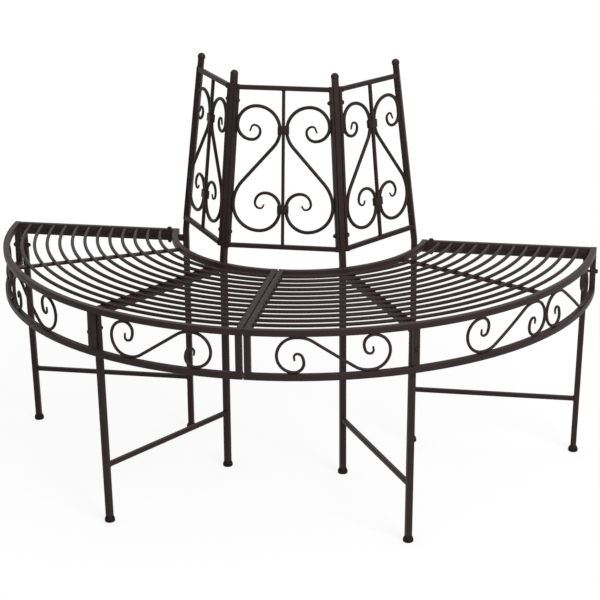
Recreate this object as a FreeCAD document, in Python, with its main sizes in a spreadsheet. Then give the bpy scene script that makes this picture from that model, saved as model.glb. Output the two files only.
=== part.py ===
"""Half-round tree bench in welded and bolted steel: two seat sections, four leg frames, three back panels.

Millimetres, +Z up. The origin is on the ground at the tree's axis. The sitter faces -Y, away from the
tree; -X is the left end of the bench and +X the right end, as seen from the front.
"""
import FreeCAD, Part
import math
import os
from types import SimpleNamespace

import Sketcher
from FreeCAD import Placement, Rotation, Vector

doc = FreeCAD.newDocument("TreeBench")
UP = Vector(0, 0, 1)
BODY_X = Vector(1, 0, 0)

# Driving dimensions, in millimetres and degrees
DRIVING = (
    ("seat_height", "450", "ground to the top of the seat"),
    ("outer_radius", "615", "tree axis to the outside of the seat"),
    ("inner_radius", "257", "tree axis to the tree side of the seat"),
    ("apron_height", "97", "top of the seat to the underside of the apron"),
    ("tube_size", "12", "square tube of the rims, bars, legs and posts"),
    ("tube_wall", "1.2", "wall of that tube"),
    ("seam_gap", "1.6", "gap between the two seat sections"),
    ("upright_inset", "1.2", "end of the rims to the upright beside the seam"),
    ("end_setback", "16", "tree axis to the tree side of the end bars"),
    ("middle_angle", "30", "seam to the middle leg frames"),
    ("slat_count", "12", "round slats in each section"),
    ("slat_size", "7", "thickness of a slat"),
    ("slat_sag", "2", "arc above the chords of a slat"),
    ("rod_sides", "6", "faces round a slat, a scroll rod, a bolt's shank or a bolt hole"),
    ("support_width", "12", "flat bar under the slats"),
    ("support_thickness", "5", "thickness of that bar"),
    ("leg_inset", "20", "outside of the seat to the middle of the front leg, at seat height"),
    ("leg_lean", "1.46", "lean of the front leg, foot towards the tree"),
    ("post_gap", "10", "back post to the tree side of the seat"),
    ("post_lean", "6.5", "lean of the back post above the seat"),
    ("post_bend", "80", "radius of the post's bend"),
    ("post_above_rail", "20.2", "middle of the top rail to the end of the post's tube"),
    ("brace_height", "119", "ground to the middle of the brace"),
    ("brace_size", "9", "square tube of the brace"),
    ("light_wall", "1", "wall of the brace and the panel rails"),
    ("ball_size", "16", "ball on the post"),
    ("ball_seat", "13.8", "flat under the ball, wider than the tube's bore corner to corner"),
    ("cap_floor", "3", "rubber under the end of a leg"),
    ("cap_height", "16", "foot cap"),
    ("cap_base", "20.5", "foot cap's width on the ground"),
    ("cap_top", "17", "foot cap's width at its rim"),
    ("cap_corner", "2", "corners cut off a foot cap"),
    ("cap_clearance", "0.5", "leg to the inside of the foot cap"),
    ("rail_size", "9", "square tube of the panel rails"),
    ("top_rail_height", "795", "ground to the middle of the top rail"),
    ("bottom_rail_height", "481", "ground to the middle of the bottom rail"),
    ("stile_thickness", "6", "flat bar bolted to the side of a post"),
    ("stile_width", "12", "width of that bar"),
    ("stile_overhang", "5", "stile past the middle of a rail"),
    ("centre_bar_size", "6", "square bar up the middle of a panel"),
    ("weld_gap", "0.1", "rod to what it is welded against"),
    ("apron_rod", "6", "rod of the apron scrolls"),
    ("apron_tip", "4.5", "that rod at its drawn-out tips"),
    ("apron_scroll_length", "212.6", "length of an apron scroll along its rod's centre line"),
    ("apron_head", "35.4", "radius of its head"),
    ("apron_curl_one", "18.5", "radius of the curl's first quarter"),
    ("apron_curl_two", "15", "radius of its second quarter"),
    ("apron_curl_three", "8", "radius of its tail"),
    ("apron_first", "166.7", "seam to the middle of the first scroll, round the apron"),
    ("apron_pair", "638.8", "seam to the middle of the pair of scrolls, round the apron"),
    ("panel_rod", "7", "rod of the panel scrolls"),
    ("panel_tip", "5", "that rod at its drawn-out tips"),
    ("tip_taper", "55", "length over which a rod is drawn out"),
    ("curl_tail_turn", "120", "turn of a curl's tail"),
    ("scroll_sag", "1.2", "arc above the chords of a scroll rod"),
    ("upper_loop_radius", "46.7", "first quarter of a panel's upper loop"),
    ("loop_share", "0.55", "larger radius of a panel's lower loop to the loop's width"),
    ("upper_collar_depth", "82.5", "middle of the top rail down to the middle of the upper collar"),
    ("lower_collar_height", "75", "middle of the bottom rail up to the middle of the lower collar"),
    ("collar_height", "15.6", "height of a collar"),
    ("collar_wall", "1", "sheet of the collar"),
    ("collar_clearance", "0.15", "collar to the rods inside it"),
    ("upper_curl_one", "29.2", "upper curl, first quarter"),
    ("upper_curl_two", "16.5", "upper curl, second quarter"),
    ("upper_curl_three", "10.7", "upper curl, third quarter"),
    ("upper_curl_four", "6", "upper curl, tail"),
    ("lower_curl_one", "28.7", "lower curl, first quarter"),
    ("lower_curl_two", "19.2", "lower curl, second quarter"),
    ("lower_curl_three", "10.3", "lower curl, third quarter"),
    ("lower_curl_four", "6.8", "lower curl, tail"),
    ("neck_radius", "50", "bend below the upper collar"),
    ("hip_radius", "70", "bend above the lower loop"),
    ("lower_loop_bottom", "31.2", "bottom rail to the lowest rod, up the panel"),
    ("bolt_size", "5", "shank of every bolt"),
    ("bolt_clearance", "0.5", "shank to the hole, on each side"),
    ("head_size", "9", "bolt head and cap nut across"),
    ("head_height", "5", "bolt head"),
    ("nut_height", "6", "cap nut"),
    ("nut_clearance", "0.1", "shank to the cap nut's bore"),
    ("leg_bolt_drop", "50", "top of the seat down to the bolts through the apron and legs"),
    ("end_bolt_inset", "19.5", "tree side of the seat to the bolts down through the end bars"),
    ("upper_bolt_drop", "26", "middle of the top rail down to the upper panel bolts"),
    ("lower_bolt_rise", "27", "middle of the bottom rail up to the lower panel bolts"),
)

sizes = doc.addObject("Spreadsheet::Sheet", "sizes")
for row, (alias, value, note) in enumerate(DRIVING, 1):
    sizes.set(f"A{row}", note)
    sizes.set(f"B{row}", value)
    sizes.setAlias(f"B{row}", alias)
doc.recompute()
size = SimpleNamespace(**{alias: float(sizes.get(alias)) for alias, _, _ in DRIVING})

# Places that follow from the driving dimensions
half_tube = size.tube_size / 2
rim_bottom = size.seat_height - size.tube_size
frame_bottom = rim_bottom - size.tube_size
apron_bottom = size.seat_height - size.apron_height
apron_top = apron_bottom + size.tube_size
rim_middle = size.outer_radius - half_tube
ring_outside = size.outer_radius - size.tube_size
ring_inside = size.inner_radius + size.tube_size
end_line = size.end_setback + half_tube
slat_bottom = size.seat_height - size.slat_size
stile_face = half_tube + size.stile_thickness
leg_radius = size.outer_radius - size.leg_inset
post_radius = size.inner_radius - size.post_gap - half_tube
post_height = size.top_rail_height + size.post_above_rail
end_bolt_radius = size.inner_radius + size.end_bolt_inset
leg_bolt_height = size.seat_height - size.leg_bolt_drop
panel_bolt_heights = (
    ("sizes.bottom_rail_height + sizes.lower_bolt_rise", size.bottom_rail_height + size.lower_bolt_rise),
    ("sizes.top_rail_height - sizes.upper_bolt_drop", size.top_rail_height - size.upper_bolt_drop),
)
leg_slope = math.tan(math.radians(size.leg_lean))
post_slope = math.tan(math.radians(size.post_lean))
SECTIONS = (("left", -1), ("right", 1))
BALL_RINGS = 5
HEAD_SIDES = 8
FRAMES = (("left_end", 180.0, end_line), ("left_middle", -90.0 - size.middle_angle, 0.0),
          ("right_middle", -90.0 + size.middle_angle, 0.0), ("right_end", 0.0, end_line))

made = {}


def keep(obj, node):
    """Gives a finished sub-part its label, which names its file."""
    obj.Label = node
    made[node] = obj
    return obj


def bind(obj, **expressions):
    """Ties properties of an object to cells of the sheet."""
    for prop, expression in expressions.items():
        obj.setExpression(prop, expression)
    return obj


def turned(angle, at=Vector(), axis=UP):
    return Placement(at, Rotation(axis, angle))


def frame_place(angle, setback):
    """A leg frame's own axes: X away from the tree, Z up, the frame in its XZ plane."""
    return turned(angle, Vector(0, -setback, 0))


def leg_x(height):
    """Distance from the tree axis to the middle of a front leg at a height."""
    return leg_radius - (size.seat_height - height) * leg_slope


def post_x(height):
    """Distance from the tree axis to the middle of a back post at a height."""
    return post_radius - max(0.0, height - size.seat_height) * post_slope


def box(name, low, high, place=None):
    """A plain block between two corners, in the axes of a placement."""
    block = doc.addObject("Part::Box", name)
    block.Length, block.Width, block.Height = (b - a for a, b in zip(low, high))
    block.Placement = (place or Placement()).multiply(Placement(Vector(*low), Rotation()))
    return block


def prism(name, sides, across, length, place, **expressions):
    """A bar with flat sides, its corners on a circle."""
    bar = doc.addObject("Part::Prism", name)
    bar.Polygon, bar.Circumradius, bar.Height, bar.Placement = sides, across / 2, length, place
    return bind(bar, **expressions)


def cylinder(name, radius, height, place):
    rod = doc.addObject("Part::Cylinder", name)
    rod.Radius, rod.Height, rod.Placement = radius, height, place
    return rod


def cut(name, base, *tools):
    """The base less each tool."""
    for number, tool in enumerate(tools):
        less = doc.addObject("Part::Cut", f"{name}_less_{number}")
        less.Base, less.Tool = base, tool
        base = less
    return base


def common(name, base, tool):
    both = doc.addObject("Part::Common", name)
    both.Base, both.Tool = base, tool
    return both


def group(node, pieces):
    """Alike pieces kept as one node of separate solids."""
    together = doc.addObject("Part::Compound", node + "_group")
    together.Links = pieces
    return keep(together, node)


def origin_plane(body, role):
    return next(f for f in body.Origin.OriginFeatures if f.Role == role)


def new_sketch(body, name, role):
    sketch = body.newObject("Sketcher::SketchObject", name)
    sketch.AttachmentSupport = [(origin_plane(body, role), "")]
    sketch.MapMode = "FlatFace"
    return sketch


def tie(sketch, constraint, name, expression):
    """Adds a named dimension to a sketch and ties it to the sheet."""
    index = sketch.addConstraint(constraint)
    sketch.renameConstraint(index, name)
    sketch.setExpression("Constraints." + name, expression)


def add_square(sketch, name, half, expression, centre=(0.0, 0.0), centre_ties=()):
    """A square round a centre, each side tied at half its width from the centre."""
    cx, cy = centre
    low_x, high_x, low_y, high_y = cx - half, cx + half, cy - half, cy + half
    corners = [(low_x, low_y), (high_x, low_y), (high_x, high_y), (low_x, high_y)]
    first = sketch.GeometryCount
    for a, b in zip(corners, corners[1:] + corners[:1]):
        sketch.addGeometry(Part.LineSegment(Vector(*a, 0), Vector(*b, 0)), False)
    for i in range(4):
        sketch.addConstraint(Sketcher.Constraint("Coincident", first + i, 2, first + (i + 1) % 4, 1))
    for i, kind in enumerate(("Horizontal", "Vertical", "Horizontal", "Vertical")):
        sketch.addConstraint(Sketcher.Constraint(kind, first + i))
    width = Sketcher.Constraint("DistanceX", first, 1, first, 2, 2 * half)
    height = Sketcher.Constraint("DistanceY", first + 1, 1, first + 1, 2, 2 * half)
    tie(sketch, width, name + "_width", expression)
    tie(sketch, height, name + "_height", expression)
    if not centre_ties:
        sketch.addConstraint(Sketcher.Constraint("Symmetric", first, 1, first + 1, 2, -1, 1))
        return
    across, up = centre_ties
    tie(sketch, Sketcher.Constraint("DistanceX", -1, 1, first, 1, cx - half), name + "_across", across)
    tie(sketch, Sketcher.Constraint("DistanceY", -1, 1, first, 1, cy - half), name + "_up", up)


def square_tube(name, length, outside="tube_size", wall="tube_wall"):
    """A straight square tube round its own Z axis, from 0 to a length given as an expression."""
    body = doc.addObject("PartDesign::Body", name)
    section = new_sketch(body, name + "_section", "XY_Plane")
    outer = getattr(size, outside)
    add_square(section, "outside", outer / 2, f"sizes.{outside}")
    add_square(section, "inside", outer / 2 - getattr(size, wall), f"sizes.{outside} - 2 * sizes.{wall}")
    pad = body.newObject("PartDesign::Pad", name + "_pad")
    pad.Profile = section
    bind(pad, Length=length)
    return body


def drill(body, name, role, centre, ties):
    """A bolt hole right through a body, square to one of its own planes, with few sides."""
    sketch = new_sketch(body, name, role)
    radius = size.bolt_size / 2 + size.bolt_clearance
    sides = int(size.rod_sides)
    circle = sketch.addGeometry(Part.Circle(Vector(*centre, 0), UP, radius), True)
    turns = [2 * math.pi * i / sides for i in range(sides)]
    corners = [Vector(centre[0] + radius * math.cos(t), centre[1] + radius * math.sin(t), 0) for t in turns]
    for i in range(sides):
        sketch.addGeometry(Part.LineSegment(corners[i], corners[(i + 1) % sides]), False)
    for i in range(sides):
        sketch.addConstraint(Sketcher.Constraint("Coincident", 1 + i, 2, 1 + (i + 1) % sides, 1))
        sketch.addConstraint(Sketcher.Constraint("PointOnObject", 1 + i, 1, circle))
        if i:
            sketch.addConstraint(Sketcher.Constraint("Equal", 1, 1 + i))
    sketch.addConstraint(Sketcher.Constraint("Horizontal", circle, 3, 1, 1))
    bore = Sketcher.Constraint("Radius", circle, radius)
    tie(sketch, bore, "bore", "sizes.bolt_size / 2 + sizes.bolt_clearance")
    for kind, where, expression in zip(("DistanceX", "DistanceY"), centre, ties):
        if expression is None:
            on = -2 if kind == "DistanceX" else -1
            sketch.addConstraint(Sketcher.Constraint("PointOnObject", circle, 3, on))
        else:
            along = Sketcher.Constraint(kind, -1, 1, circle, 3, where)
            tie(sketch, along, "along_" + kind[-1].lower(), expression)
    hole = body.newObject("PartDesign::Pocket", name + "_hole")
    hole.Profile = sketch
    hole.Type = "ThroughAll"
    hole.Midplane = True
    return hole


# Seat sections
def bent_rim(name, middle, top, side):
    """A square tube bent to a radius, from the seam to the end bar, closed at both ends and kept solid."""
    body = doc.addObject("PartDesign::Body", name)
    section = new_sketch(body, name + "_section", "XZ_Plane")
    radius = getattr(size, middle[0]) + middle[1] * half_tube
    height = top[0] - half_tube
    around = f"sizes.{middle[0]} {'+' if middle[1] > 0 else '-'} sizes.tube_size / 2"
    up = f"{top[1]} - sizes.tube_size / 2"
    add_square(section, "outside", half_tube, "sizes.tube_size", (radius, height),
               (f"{around} - sizes.tube_size / 2", f"{up} - sizes.tube_size / 2"))
    bend = body.newObject("PartDesign::Revolution", name + "_bend")
    bend.Profile = section
    bend.ReferenceAxis = (section, ["V_Axis"])
    at_seam = math.degrees(math.asin(size.seam_gap / 2 / radius))
    at_end = math.degrees(math.asin(size.end_setback / radius))
    bind(bend, Angle=f"90 deg - asin(sizes.seam_gap / 2 / ({around}))"
                     f" - asin(sizes.end_setback / ({around}))")
    body.Placement = turned(at_seam - 90 if side > 0 else at_end - 180)
    return body


def coped_bar(node, bar, gap_ring):
    """A bar trimmed to the round faces of the inner and outer rims."""
    return keep(common(node + "_coped", bar, gap_ring), node)


def flat_support(name, angle):
    """The flat bar that carries the slats, trimmed to the rims later."""
    bar = doc.addObject("Part::Box", name)
    bind(bar, Length="sizes.outer_radius", Width="sizes.support_width", Height="sizes.support_thickness")
    bar.Placement = turned(angle).multiply(
        Placement(Vector(0, -size.support_width / 2, slat_bottom - size.support_thickness), Rotation()))
    return bar


def round_slats(node, side, field):
    """Rods bent round the tree, evenly spaced between the rims and trimmed to the bars."""
    pitch = (ring_outside - ring_inside) / (size.slat_count + 1)
    level = UP * (slat_bottom + size.slat_size / 2)
    start = -math.pi / 2 if side > 0 else math.pi

    def lay(x, y):
        return Vector(x, y, 0) + level, BODY_X, Vector(0, 1, 0), UP

    rods = []
    for number in range(1, int(size.slat_count) + 1):
        radius = ring_inside + number * pitch
        first = (radius * math.cos(start), radius * math.sin(start))
        path = walk(first, start + math.pi / 2, [("bend", radius, 90)], size.slat_sag)
        rod = doc.addObject("Part::Feature", f"{node}_rod_{number}")
        rod.Shape = rod_along(path, lay, size.slat_size, size.slat_size)
        rods.append(common(f"{node}_trimmed_{number}", rod, field))
    return group(node, rods)


def upright(name, place):
    """A post of the apron, between its two rims."""
    body = square_tube(name, "sizes.apron_height - 2 * sizes.tube_size")
    body.Placement = place.multiply(Placement(Vector(0, 0, apron_top), Rotation()))
    return body


def apron_bolt_hole(body):
    drill(body, body.Name + "_drill", "YZ_Plane", (0, leg_bolt_height - apron_top),
          (None, "sizes.apron_height - sizes.leg_bolt_drop - sizes.tube_size"))


def seat_section(side_name, side, gap_ring):
    seat = (size.seat_height, "sizes.seat_height")
    apron = (apron_top, "sizes.seat_height - sizes.apron_height + sizes.tube_size")
    keep(bent_rim(side_name + "_outer_tube", ("outer_radius", -1), seat, side), side_name + "_outer_rim")
    keep(bent_rim(side_name + "_apron_tube", ("outer_radius", -1), apron, side), side_name + "_apron_rim")
    keep(bent_rim(side_name + "_inner_tube", ("inner_radius", 1), seat, side), side_name + "_inner_rim")

    end_bar = square_tube(side_name + "_end_tube", "sizes.outer_radius")
    drill(end_bar, side_name + "_end_drill", "XZ_Plane", (0, end_bolt_radius),
          (None, "sizes.inner_radius + sizes.end_bolt_inset"))
    lie_out = Rotation(Vector(0, 1, 0), 90)
    mid_height = size.seat_height - half_tube
    end_bar.Placement = turned(0 if side > 0 else 180, Vector(0, -end_line, mid_height)).multiply(
        Placement(Vector(), lie_out.multiply(Rotation(UP, 90))))
    coped_bar(side_name + "_end_bar", end_bar, gap_ring)

    seam_x = side * (size.seam_gap / 2 + half_tube)
    seam_bar = square_tube(side_name + "_seam_tube", "sizes.outer_radius")
    seam_bar.Placement = turned(-90, Vector(seam_x, 0, mid_height)).multiply(Placement(Vector(), lie_out))
    coped_bar(side_name + "_seam_bar", seam_bar, gap_ring)

    supports = []
    for i, angle in enumerate((size.middle_angle, 2 * size.middle_angle)):
        flat = flat_support(f"{side_name}_flat_{i}", -90 + side * angle)
        supports.append(common(f"{side_name}_support_{i}", flat, gap_ring))
    group(side_name + "_support_bars", supports)

    end_x = math.sqrt(rim_middle ** 2 - end_line ** 2)
    seam_upright_x = side * (size.seam_gap / 2 + size.upright_inset + half_tube)
    seam_y = -math.sqrt(rim_middle ** 2 - seam_upright_x ** 2)
    end_upright = upright(side_name + "_end_upright", turned(0, Vector(side * end_x, -end_line, 0)))
    at_leg = turned(-90 + side * size.middle_angle).multiply(turned(0, Vector(rim_middle, 0, 0)))
    leg_upright = upright(side_name + "_leg_upright", at_leg)
    seam_upright = upright(side_name + "_seam_upright", turned(0, Vector(seam_upright_x, seam_y, 0)))
    apron_bolt_hole(end_upright)
    apron_bolt_hole(leg_upright)
    group(side_name + "_apron_uprights", [end_upright, leg_upright, seam_upright])

    reach = size.outer_radius
    inner_x = size.seam_gap / 2 + size.tube_size
    x_range = (inner_x, reach) if side > 0 else (-reach, -inner_x)
    field = box(side_name + "_slat_field", (x_range[0], -reach, slat_bottom - 1),
                (x_range[1], -end_line - half_tube, size.seat_height + 1))
    round_slats(side_name + "_seat_slats", side, field)
    apron_scrolls(side_name + "_apron_scrolls", side)


# Scroll rods
def walk(start, heading, moves, sag):
    """Stations (x, y, heading, distance) along a flat path of straight runs and bends.

    A move is ("run", length) or ("bend", radius, turn), the turn in degrees and positive to the left.
    A bend has as many stations as keep its chords within the sag.
    """
    x, y = start
    distance = 0.0
    stations = [(x, y, heading, distance)]
    for kind, *measure in moves:
        if kind == "run":
            x += measure[0] * math.cos(heading)
            y += measure[0] * math.sin(heading)
            distance += measure[0]
            stations.append((x, y, heading, distance))
            continue
        radius, turn = measure
        longest = 2 * math.acos(1 - sag / radius)
        steps = max(1, round(math.radians(abs(turn)) / longest))
        step = math.radians(turn) / steps
        side = math.copysign(1, turn)
        cx, cy = x - side * radius * math.sin(heading), y + side * radius * math.cos(heading)
        for _ in range(steps):
            heading += step
            x, y = cx + side * radius * math.sin(heading), cy - side * radius * math.cos(heading)
            distance += radius * abs(step)
            stations.append((x, y, heading, distance))
    return stations


def joined(back, forward):
    """One path from two that leave the same point in opposite directions."""
    length = back[-1][3]
    tail = [(x, y, heading + math.pi, length - d) for x, y, heading, d in reversed(back[1:])]
    return tail + [(x, y, heading, length + d) for x, y, heading, d in forward]


def flat_faces(corners):
    """One face through four corners where they are level, or two triangles where they aren't."""
    a, b, c, d = corners
    normal = (b - a).cross(c - a)
    if abs(normal.dot(d - a)) < 1e-7 * normal.Length:
        return [Part.Face(Part.makePolygon([a, b, c, d, a]))]
    return [Part.Face(Part.makePolygon([a, b, c, a])), Part.Face(Part.makePolygon([a, c, d, a]))]


def rod_along(stations, lay, rod, tip):
    """A solid rod through flat stations, drawn out to its tips; lay() turns a station into space axes."""
    length = stations[-1][3]
    sides = int(size.rod_sides)
    rings = []
    for x, y, heading, distance in stations:
        to_tip = min(distance, length - distance)
        across = min(rod, tip + (rod - tip) * to_tip / size.tip_taper)
        point, along, up, out = lay(x, y)
        side = up * math.cos(heading) - along * math.sin(heading)
        reach = across / 2 / math.cos(math.pi / sides)
        turns = [2 * math.pi * (number + 0.5) / sides for number in range(sides)]
        rings.append([point + side * (reach * math.cos(t)) + out * (reach * math.sin(t)) for t in turns])
    faces = [Part.Face(Part.makePolygon(ring + ring[:1])) for ring in (rings[0], rings[-1])]
    for near, far in zip(rings, rings[1:]):
        for i in range(sides):
            j = (i + 1) % sides
            faces += flat_faces((near[i], near[j], far[j], far[i]))
    solid = Part.Solid(Part.Shell(faces))
    if solid.Volume < 0:
        solid.reverse()
    return solid


def s_scroll():
    """Half of an apron scroll, from its middle to the tip of its left curl."""
    half_height = (size.apron_height - 2 * size.tube_size - size.apron_rod) / 2
    head = Vector(-size.apron_scroll_length / 2 + size.apron_head, half_height - size.apron_head, 0)
    reach = head.Length
    heading = math.atan2(head.y, head.x) - math.asin(size.apron_head / reach) + 2 * math.pi
    straight = math.sqrt(reach ** 2 - size.apron_head ** 2)
    moves = [("run", straight), ("bend", size.apron_head, 270 - math.degrees(heading)),
             ("bend", 2 * half_height - size.apron_head, 90), ("bend", size.apron_curl_one, 90),
             ("bend", size.apron_curl_two, 90), ("bend", size.apron_curl_three, size.curl_tail_turn)]
    return walk((0.0, 0.0), heading, moves, size.scroll_sag)


def apron_scrolls(node, side):
    """Three scrolls rolled to the apron's radius, between its rims."""
    half = s_scroll()
    other = [(-x, -y, heading + math.pi, d) for x, y, heading, d in half]
    path = joined(other, half)
    middle_height = (apron_top + rim_bottom) / 2
    spread = (size.apron_scroll_length + size.apron_rod) / 2
    scrolls = []
    places = ((size.apron_first, 1), (size.apron_pair - spread, -1), (size.apron_pair + spread, 1))
    for centre, hand in places:

        def lay(x, y, centre=centre, hand=hand):
            turn = side * (centre + hand * x) / rim_middle
            out = Vector(math.sin(turn), -math.cos(turn), 0)
            along = Vector(math.cos(turn), math.sin(turn), 0) * (side * hand)
            return out * rim_middle + UP * (middle_height + y), along, UP, out

        scrolls.append(rod_along(path, lay, size.apron_rod, size.apron_tip))
    rods = doc.addObject("Part::Feature", node)
    rods.Shape = Part.makeCompound(scrolls)
    return keep(rods, node)


# Leg frames
def front_leg(name, place):
    body = square_tube(name + "_tube", "(sizes.seat_height - sizes.tube_size - sizes.cap_floor)"
                       " / cos(sizes.leg_lean * 1 deg)")
    along = (leg_bolt_height - size.cap_floor) / math.cos(math.radians(size.leg_lean))
    drill(body, name + "_drill", "YZ_Plane", (0, along),
          (None, "(sizes.seat_height - sizes.leg_bolt_drop - sizes.cap_floor)"
                 " / cos(sizes.leg_lean * 1 deg)"))
    foot = Vector(leg_x(size.cap_floor), 0, size.cap_floor)
    body.Placement = place.multiply(Placement(foot, Rotation(Vector(0, 1, 0), size.leg_lean)))
    return keep(body, name)


def back_post(name, place):
    """The bent post: upright to the seat, then leaning towards the tree."""
    body = doc.addObject("PartDesign::Body", name + "_tube")
    section = new_sketch(body, name + "_section", "XY_Plane")
    add_square(section, "outside", half_tube, "sizes.tube_size")
    add_square(section, "inside", half_tube - size.tube_wall, "sizes.tube_size - 2 * sizes.tube_wall")
    lean = math.radians(size.post_lean)
    tangent = size.post_bend * math.tan(lean / 2)
    low = size.seat_height - size.cap_floor - tangent
    bend = Vector(-tangent * math.sin(lean), low + tangent + tangent * math.cos(lean), 0)
    rise = post_height - size.cap_floor
    top = Vector(-(rise - low - tangent) * post_slope, rise, 0)
    path = new_sketch(body, name + "_path", "XZ_Plane")
    path.addGeometry(Part.LineSegment(Vector(), Vector(0, low, 0)), False)
    arc = Part.ArcOfCircle(Part.Circle(Vector(-size.post_bend, low, 0), UP, size.post_bend), 0, lean)
    path.addGeometry(arc, False)
    path.addGeometry(Part.LineSegment(bend, top), False)
    path.addConstraint(Sketcher.Constraint("Coincident", 0, 1, -1, 1))
    path.addConstraint(Sketcher.Constraint("Vertical", 0))
    path.addConstraint(Sketcher.Constraint("Tangent", 0, 2, 1, 1))
    path.addConstraint(Sketcher.Constraint("Tangent", 1, 2, 2, 1))
    straight = "sizes.seat_height - sizes.cap_floor - sizes.post_bend * tan(sizes.post_lean * 0.5 deg)"
    tie(path, Sketcher.Constraint("DistanceY", 0, 1, 0, 2, low), "straight", straight)
    tie(path, Sketcher.Constraint("Radius", 1, size.post_bend), "bend", "sizes.post_bend")
    tie(path, Sketcher.Constraint("Angle", 0, 1, 2, 1, lean), "lean", "sizes.post_lean * 1 deg")
    tie(path, Sketcher.Constraint("DistanceY", 0, 1, 2, 2, rise), "rise",
        "sizes.top_rail_height + sizes.post_above_rail - sizes.cap_floor")
    pipe = body.newObject("PartDesign::AdditivePipe", name + "_pipe")
    pipe.Profile = section
    pipe.Spine = (path, ["Edge1", "Edge2", "Edge3"])
    doc.recompute()
    for number, (where, height) in enumerate(panel_bolt_heights):
        back = f"(sizes.seat_height - ({where})) * tan(sizes.post_lean * 1 deg)"
        drill(body, f"{name}_drill_{number}", "XZ_Plane",
              (post_x(height) - post_radius, height - size.cap_floor),
              (back, f"{where} - sizes.cap_floor"))
    body.Placement = place.multiply(Placement(Vector(post_radius, 0, size.cap_floor), Rotation()))
    return keep(body, name)


def cross_tube(name, place, height, outside, wall, start, end, hole=None):
    """A level tube of a frame between its post and its leg, in the frame's axes."""
    body = square_tube(name + "_tube", f"{end - start} mm", outside, wall)
    if hole:
        drill(body, name + "_drill", "XZ_Plane", (0, hole - start), (None, f"{hole - start} mm"))
    lie_out = Rotation(Vector(0, 1, 0), 90).multiply(Rotation(UP, 90))
    body.Placement = place.multiply(Placement(Vector(start, 0, height), lie_out))
    return keep(body, name)


def ball(name, place):
    """A ball of flat bands, whose lowest ring closes the end of the post."""
    radius, seat = size.ball_size / 2, size.ball_seat / 2
    rise = math.sqrt(radius ** 2 - seat ** 2)
    start = math.atan2(-rise, seat)
    lean = Placement(Vector(post_x(post_height), 0, post_height),
                     Rotation(Vector(0, 1, 0), -size.post_lean))
    rings = []
    for number in range(BALL_RINGS):
        latitude = start + (math.pi / 2 - start) * number / (BALL_RINGS - 0.5)
        ring = doc.addObject("Part::RegularPolygon", f"{name}_ring_{number}")
        ring.Polygon = HEAD_SIDES
        bind(ring, Circumradius=f"sizes.ball_size / 2 * {math.cos(latitude):.6f}")
        above_seat = Placement(Vector(0, 0, rise + radius * math.sin(latitude)), Rotation())
        ring.Placement = place.multiply(lean).multiply(above_seat)
        rings.append(ring)
    loft = doc.addObject("Part::Loft", name)
    loft.Sections, loft.Solid, loft.Ruled = rings, True, True
    return loft


def foot_cap(name, place, x):
    """A rubber cap, wider at the ground, with a square socket for the leg."""
    body = doc.addObject("PartDesign::Body", name)
    base = new_sketch(body, name + "_base", "XY_Plane")
    add_square(base, "base", size.cap_base / 2, "sizes.cap_base")
    flare = body.newObject("PartDesign::Pad", name + "_flare")
    flare.Profile = base
    bind(flare, Length="sizes.cap_height",
         TaperAngle="-atan((sizes.cap_base - sizes.cap_top) / 2 / sizes.cap_height)")
    doc.recompute()
    corners = [f"Edge{i}" for i, edge in enumerate(flare.Shape.Edges, 1)
               if abs(edge.tangentAt(edge.FirstParameter).z) > 0.5]
    soft = body.newObject("PartDesign::Chamfer", name + "_corners")
    soft.Base = (flare, corners)
    bind(soft, Size="sizes.cap_corner")
    socket = new_sketch(body, name + "_socket", "XY_Plane")
    add_square(socket, "socket", half_tube + size.cap_clearance,
               "sizes.tube_size + 2 * sizes.cap_clearance")
    socket.setExpression("AttachmentOffset.Base.z", "sizes.cap_floor")
    pocket = body.newObject("PartDesign::Pocket", name + "_pocket")
    pocket.Profile = socket
    pocket.Type = "ThroughAll"
    pocket.Reversed = True
    body.Placement = place.multiply(Placement(Vector(x, 0, 0), Rotation()))
    return body


def leg_frame(frame_name, angle, setback):
    place = frame_place(angle, setback)
    front_leg(frame_name + "_leg", place)
    back_post(frame_name + "_post", place)
    start = post_radius + half_tube
    face = half_tube / math.cos(math.radians(size.leg_lean))
    hole = end_bolt_radius if setback else None
    cross_tube(frame_name + "_top_tube", place, frame_bottom + half_tube, "tube_size", "tube_wall",
               start, leg_x(frame_bottom) - face, hole)
    brace_low = size.brace_height - size.brace_size / 2
    cross_tube(frame_name + "_brace", place, size.brace_height, "brace_size", "light_wall",
               start, leg_x(brace_low) - face)


# Back panels
def panel_geometry(left, right):
    """The flat panel between the stiles of two frames: its placement and its clear half width up it."""
    def ends(height):
        points = []
        for (_, angle, setback), tangent in ((left, 1), (right, -1)):
            offset = Vector(post_x(height), tangent * stile_face, height)
            points.append(frame_place(angle, setback).multVec(offset))
        return points

    low_a, low_b = ends(size.bottom_rail_height)
    high_a, high_b = ends(size.top_rail_height)
    low, high = (low_a + low_b) / 2, (high_a + high_b) / 2
    along = (low_b - low_a).normalize()
    up = (high - low).normalize()
    out = along.cross(up)
    place = Placement(low, Rotation(along, up, out, "XYZ"))
    return place, (low_b - low_a).Length / 2, (high_b - high_a).Length / 2, (high - low).Length


def panel_rail(name, place, height, half, blocks):
    """A square tube across a panel, mitred to the stiles."""
    reach = half + size.tube_size
    half_rail = size.rail_size / 2
    bore = half_rail - size.light_wall
    outer = box(name + "_outside", (-reach, height - half_rail, -half_rail),
                (reach, height + half_rail, half_rail), place)
    inner = box(name + "_inside", (-reach, height - bore, -bore), (reach, height + bore, bore), place)
    bind(outer, Width="sizes.rail_size", Height="sizes.rail_size")
    bore_size = "sizes.rail_size - 2 * sizes.light_wall"
    bind(inner, Width=bore_size, Height=bore_size)
    return cut(name, outer, inner, *blocks)


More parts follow.
